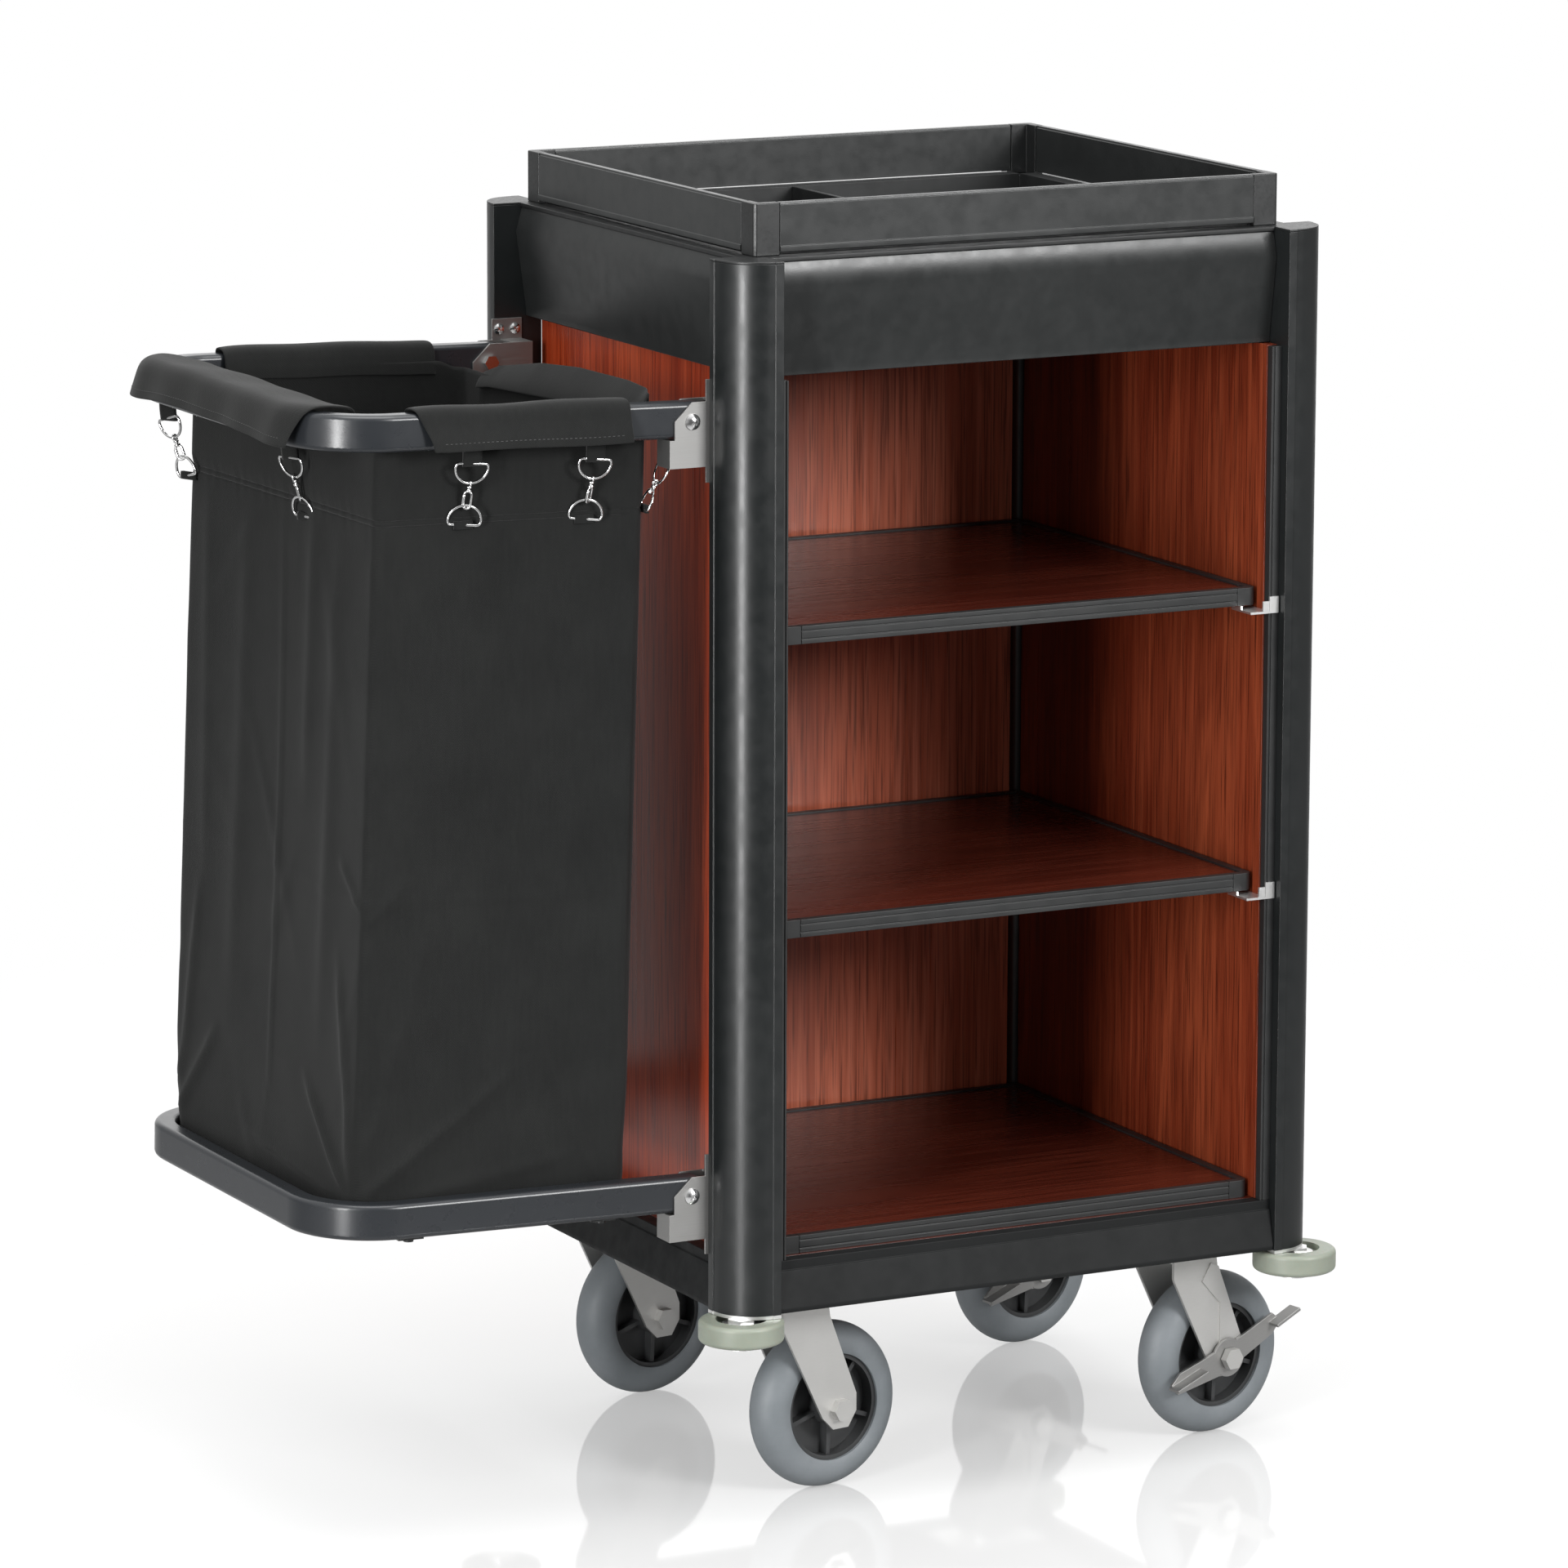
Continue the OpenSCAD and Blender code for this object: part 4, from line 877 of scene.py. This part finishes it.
def tube(points, radius, closed=False, sides=10):
    """Rings of a round wire along a line of points."""
    pts = [Vector(p) for p in points]
    n = len(pts)
    verts, faces = [], []
    last = None
    for i, p in enumerate(pts):
        ahead = pts[(i + 1) % n] if closed or i < n - 1 else p
        behind = pts[i - 1] if closed or i > 0 else p
        d = (ahead - behind).normalized()
        side = d.orthogonal() if last is None else last - d * last.dot(d)
        side.normalize()
        last = side
        other = d.cross(side)
        for k in range(sides):
            a = 2 * math.pi * k / sides
            verts.append(p + (side * math.cos(a) + other * math.sin(a)) * radius)
    rings = n if closed else n - 1
    for i in range(rings):
        j = (i + 1) % n
        for k in range(sides):
            m = (k + 1) % sides
            faces.append((i * sides + k, i * sides + m, j * sides + m, j * sides + k))
    if not closed:
        faces.append(tuple(range(sides))[::-1])
        faces.append(tuple((n - 1) * sides + k for k in range(sides)))
    return verts, faces


def joined(parts):
    """One list of points and one of faces from several."""
    verts, faces = [], []
    for v, f in parts:
        base = len(verts)
        verts += v
        faces += [tuple(i + base for i in face) for face in f]
    return verts, faces


def lathe(profile, centre, axis, sides=16):
    """A solid of revolution: profile of (along, radius) pairs about an axis from a centre."""
    axis = Vector(axis).normalized()
    side = axis.orthogonal().normalized()
    other = axis.cross(side)
    verts, faces = [], []
    for along, radius in profile:
        for k in range(sides):
            a = 2 * math.pi * k / sides
            verts.append(Vector(centre) + axis * along
                         + (side * math.cos(a) + other * math.sin(a)) * radius)
    for i in range(len(profile) - 1):
        for k in range(sides):
            m = (k + 1) % sides
            faces.append((i * sides + k, i * sides + m, (i + 1) * sides + m, (i + 1) * sides + k))
    faces.append(tuple(range(sides))[::-1])
    faces.append(tuple((len(profile) - 1) * sides + k for k in range(sides)))
    return verts, faces


def chain_axes(top, low, right):
    """The direction down a chain or tab, and the direction across it."""
    down = (low - top).normalized()
    return down, (right - down * right.dot(down)).normalized()


def d_ring(start, down, side, twist):
    """A D-shaped ring: its straight bar at the start, its bow further down."""
    out = down.cross(side)
    side = (side * math.cos(twist) + out * math.sin(twist)).normalized()
    line = [start + side * RING_HALF * MM * math.cos(a)
            + down * (RING_BAR + RING_BOW * math.sin(a)) * MM
            for a in np.linspace(0.0, math.pi, 26)]
    line += [start + side * x * MM + down * d * MM for x, d in (
        (-14.4, 1.8), (-13.2, 0.3), (-11.6, 0.0), (-6.0, 0.0), (0.0, 0.0), (6.0, 0.0),
        (11.6, 0.0), (13.2, 0.3), (14.4, 1.8))]
    return tube(line, RING_WIRE * MM, closed=True)


def hook_chain(top, low, right, turn):
    """Two D-rings with a swivel and a snap hook between them, from a tab down to the bag."""
    down, side = chain_axes(top, low, right)
    out = down.cross(side)
    length = (low - top).length
    hook_side = (side * math.cos(turn) + out * math.sin(turn)).normalized()
    parts = [d_ring(top, down, side, 0.12), d_ring(low, -down, side, -0.2)]
    # swivel: an eye round the upper ring's bow, a post and a collar
    bow = top + down * (RING_BAR + RING_BOW) * MM
    eye = [bow + (down * math.cos(a) + out * math.sin(a)) * 2.5 * MM
           for a in np.linspace(0, 2 * math.pi, 14, endpoint=False)]
    parts.append(tube(eye, EYE_WIRE * MM, closed=True, sides=8))
    parts.append(lathe([(a * MM, r * MM) for a, r in (
        (0.0, 1.2), (0.4, 2.4), (1.6, 2.6), (2.2, 1.7), (3.4, 1.7), (3.9, 2.9), (5.2, 2.9),
        (5.8, 1.6))], bow + down * 2.4 * MM, down))
    # snap hook: a long closed loop with a thicker gate, its end round the lower ring's bow
    first, last = bow + down * 7.6 * MM, top + down * (length - 15.2 * MM)
    r = HOOK_R * MM
    loop = [first + down * r + hook_side * r * math.cos(a) - down * r * math.sin(a)
            for a in np.linspace(0, math.pi, 10)]
    loop += [last - down * r - hook_side * r * math.cos(a) + down * r * math.sin(a)
             for a in np.linspace(0, math.pi, 10)]
    parts.append(tube(loop, HOOK_WIRE * MM, closed=True))
    gate = [first.lerp(last, t) + hook_side * r for t in np.linspace(0.2, 0.8, 6)]
    parts.append(tube(gate, GATE_WIRE * MM))
    return joined(parts)


def cloth_tab(top, low, right, out):
    """A strip of cloth between two points, doubled round a ring's bar."""
    side = chain_axes(top, low, right)[1]
    width, thickness = TAB_W * MM, TAB_T * MM
    rows, columns = 8, 7
    verts = []
    for i in range(rows):
        t = i / (rows - 1)
        for j in range(columns):
            u = 2.0 * j / (columns - 1) - 1.0
            bow = thickness * (0.5 + 0.5 * math.sin(math.pi * t)) * (1.0 - 0.5 * u ** 6)
            verts.append(top.lerp(low, t) + side * u * width / 2 + out * bow)
    front = len(verts)
    faces = grid_faces(rows, columns, False)
    verts += [v - out * 2.0 * thickness for v in verts]
    faces += [tuple(i + front for i in f[::-1]) for f in faces]
    ring = (list(range(columns)) + [columns * i + columns - 1 for i in range(1, rows)]
            + [columns * (rows - 1) + j for j in range(columns - 2, -1, -1)]
            + [columns * i for i in range(rows - 2, 0, -1)])
    for a, b in zip(ring, ring[1:] + ring[:1]):
        faces.append((b, a, a + front, b + front))
    return verts, faces


def make_hooks():
    """The eight chains that hold the bag's corners and sides up, and their cloth tabs."""
    metal, tabs = [], []
    y_front, y_back = BAG_Y
    left, front = Vector((-1, 0, 0)), Vector((0, -1, 0))
    slanted = Vector((-0.4, 0.92, 0)).normalized()
    # bar of the upper ring, bar of the lower ring, direction along the cloth, outward, turn
    spots = [
        ((-220, y_front - 17, 957), (-222, y_front - 2.4, 902), left, front, 0.5),
        ((-103, y_front - 17, 953), (-107, y_front - 2.4, 899), left, front, -0.6),
        ((-220, y_back + 17, 957), (-222, y_back + 2.4, 902), -left, -front, 0.4),
        ((-103, y_back + 17, 953), (-107, y_back + 2.4, 899), -left, -front, -0.5),
        ((-322, 214, 948), (-307, 217, 895), slanted, left, 0.7),
        ((-336, 449, 952), (-322, 438, 901), slanted, left, -0.4),
        ((-28, 78, 941), (-45, 84, 903), front, -left, 0.8),
        ((-28, 438, 941), (-45, 430, 903), front, -left, 0.2),
    ]
    for high, low, right, out, turn in spots:
        a, b = cart(*high), cart(*low)
        metal.append(hook_chain(a, b, right, turn))
        tabs.append(cloth_tab(a + Vector((0, 0, 16 * MM)) + out * TAB_T * MM,
                              a - Vector((0, 0, 2.4 * MM)), right, out))
        tabs.append(cloth_tab(b + Vector((0, 0, 3.4 * MM)), b - Vector((0, 0, 3.6 * MM)),
                              right, out))
    piece = new_piece("bag_hook_chains", *joined(metal), M["chrome"])
    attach(piece, "upper_frame")
    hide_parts("bag_hooks")
    cloth = new_piece("bag_hook_tabs", *joined(tabs), M["canvas"])
    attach(cloth, "upper_frame")


make_soft_goods()
make_hooks()

# ---------------------------------------------------------------- floor and light


FLOOR_GAP = 0.0005     # under the tyres


def make_floor():
    """A pale, slightly glossy floor that fades into the pale surroundings."""
    rings, sides, reach = 24, 96, 14.0
    verts = [Vector((0, 0, 0))]
    faces = []
    for i in range(1, rings + 1):
        radius = reach * (i / rings) ** 2
        for k in range(sides):
            a = 2 * math.pi * k / sides
            verts.append(Vector((radius * math.cos(a), radius * math.sin(a), 0)))
    for k in range(sides):
        faces.append((0, 1 + k, 1 + (k + 1) % sides))
    for i in range(rings - 1):
        for k in range(sides):
            m = (k + 1) % sides
            a, b = 1 + i * sides, 1 + (i + 1) * sides
            faces.append((a + k, b + k, b + m, a + m))
    s = Shader("pale_floor", Specular_IOR_Level=0.9)
    colour = s.ramp(s.noise(1.3, 3.0), [(0.3, (0.60, 0.60, 0.60)), (0.7, (0.63, 0.63, 0.63))])
    away = s.add("VectorMath", {0: s.point}, operation="LENGTH").outputs["Value"]
    s.drive(Base_Color=colour, Roughness=s.span(s.noise(6.0, 2.0), 0.04, 0.06),
            Alpha=s.span(away, 0.62, 0.0, 0.6, 2.2))
    floor = new_piece("floor", verts, faces, s.mat)
    floor.location.z = -FLOOR_GAP


def make_world():
    """Soft studio surroundings: white to look at, with glows behind, above and at the sides."""
    world = bpy.data.worlds.new("studio")
    SCENE.world = world
    world.use_nodes = True
    tree = world.node_tree
    new, link = tree.nodes.new, tree.links.new
    background = tree.nodes["Background"]
    point = new("ShaderNodeTexCoord").outputs["Generated"]
    total = None
    # direction, where the glow starts and ends (cosines), strength at the start and the end
    for direction, start, stop, low, high in (
            ((0.10, 0.99, 0.05), 0.20, 0.95, 0.13, 0.50),
            ((0.45, 0.87, 0.19), 0.80, 0.99, 0.00, 0.90),
            ((0.00, 0.00, 1.00), 0.20, 0.85, 0.00, 1.05),
            ((-0.93, -0.30, 0.20), 0.55, 0.98, 0.00, 0.50),
            ((0.85, -0.45, 0.30), 0.60, 0.98, 0.00, 0.30)):
        dot = new("ShaderNodeVectorMath")
        dot.operation = "DOT_PRODUCT"
        link(point, dot.inputs[0])
        dot.inputs[1].default_value = direction
        glow = new("ShaderNodeMapRange")
        glow.interpolation_type = "SMOOTHSTEP"
        link(dot.outputs["Value"], glow.inputs["Value"])
        for key, value in (("From Min", start), ("From Max", stop), ("To Min", low),
                           ("To Max", high)):
            glow.inputs[key].default_value = value
        if total is None:
            total = glow.outputs["Result"]
        else:
            add = new("ShaderNodeMath")
            link(total, add.inputs[0])
            link(glow.outputs["Result"], add.inputs[1])
            total = add.outputs[0]
    seen = new("ShaderNodeLightPath").outputs["Is Camera Ray"]
    mix = new("ShaderNodeMix")
    link(seen, mix.inputs[0])
    link(total, mix.inputs[2])
    mix.inputs[3].default_value = 1.0
    link(mix.outputs[0], background.inputs["Strength"])
    background.inputs["Color"].default_value = (1.0, 1.0, 1.0, 1.0)


def area_light(name, place, target, size, power):
    """A white softbox: place and target in metres, width and height, and power in watts."""
    data = bpy.data.lights.new(name, "AREA")
    data.shape = "RECTANGLE"
    data.size, data.size_y = size
    data.energy = power
    light = bpy.data.objects.new(name, data)
    SCENE.collection.objects.link(light)
    light.location = Vector(place)
    light.rotation_mode = "QUATERNION"
    light.rotation_quaternion = (Vector(target) - Vector(place)).to_track_quat("-Z", "Y")


make_floor()
make_world()
area_light("left_softbox", (-2.9, -1.9, 0.9), (-0.1, -0.2, 0.65), (0.45, 2.2), 110)
area_light("front_softbox", (1.7, -4.2, 2.3), (0.1, 0.0, 0.6), (1.5, 1.3), 180)
area_light("top_softbox", (-0.2, -0.6, 3.4), (0.0, 0.0, 0.6), (2.2, 1.6), 60)
SCENE.view_settings.view_transform = "Standard"
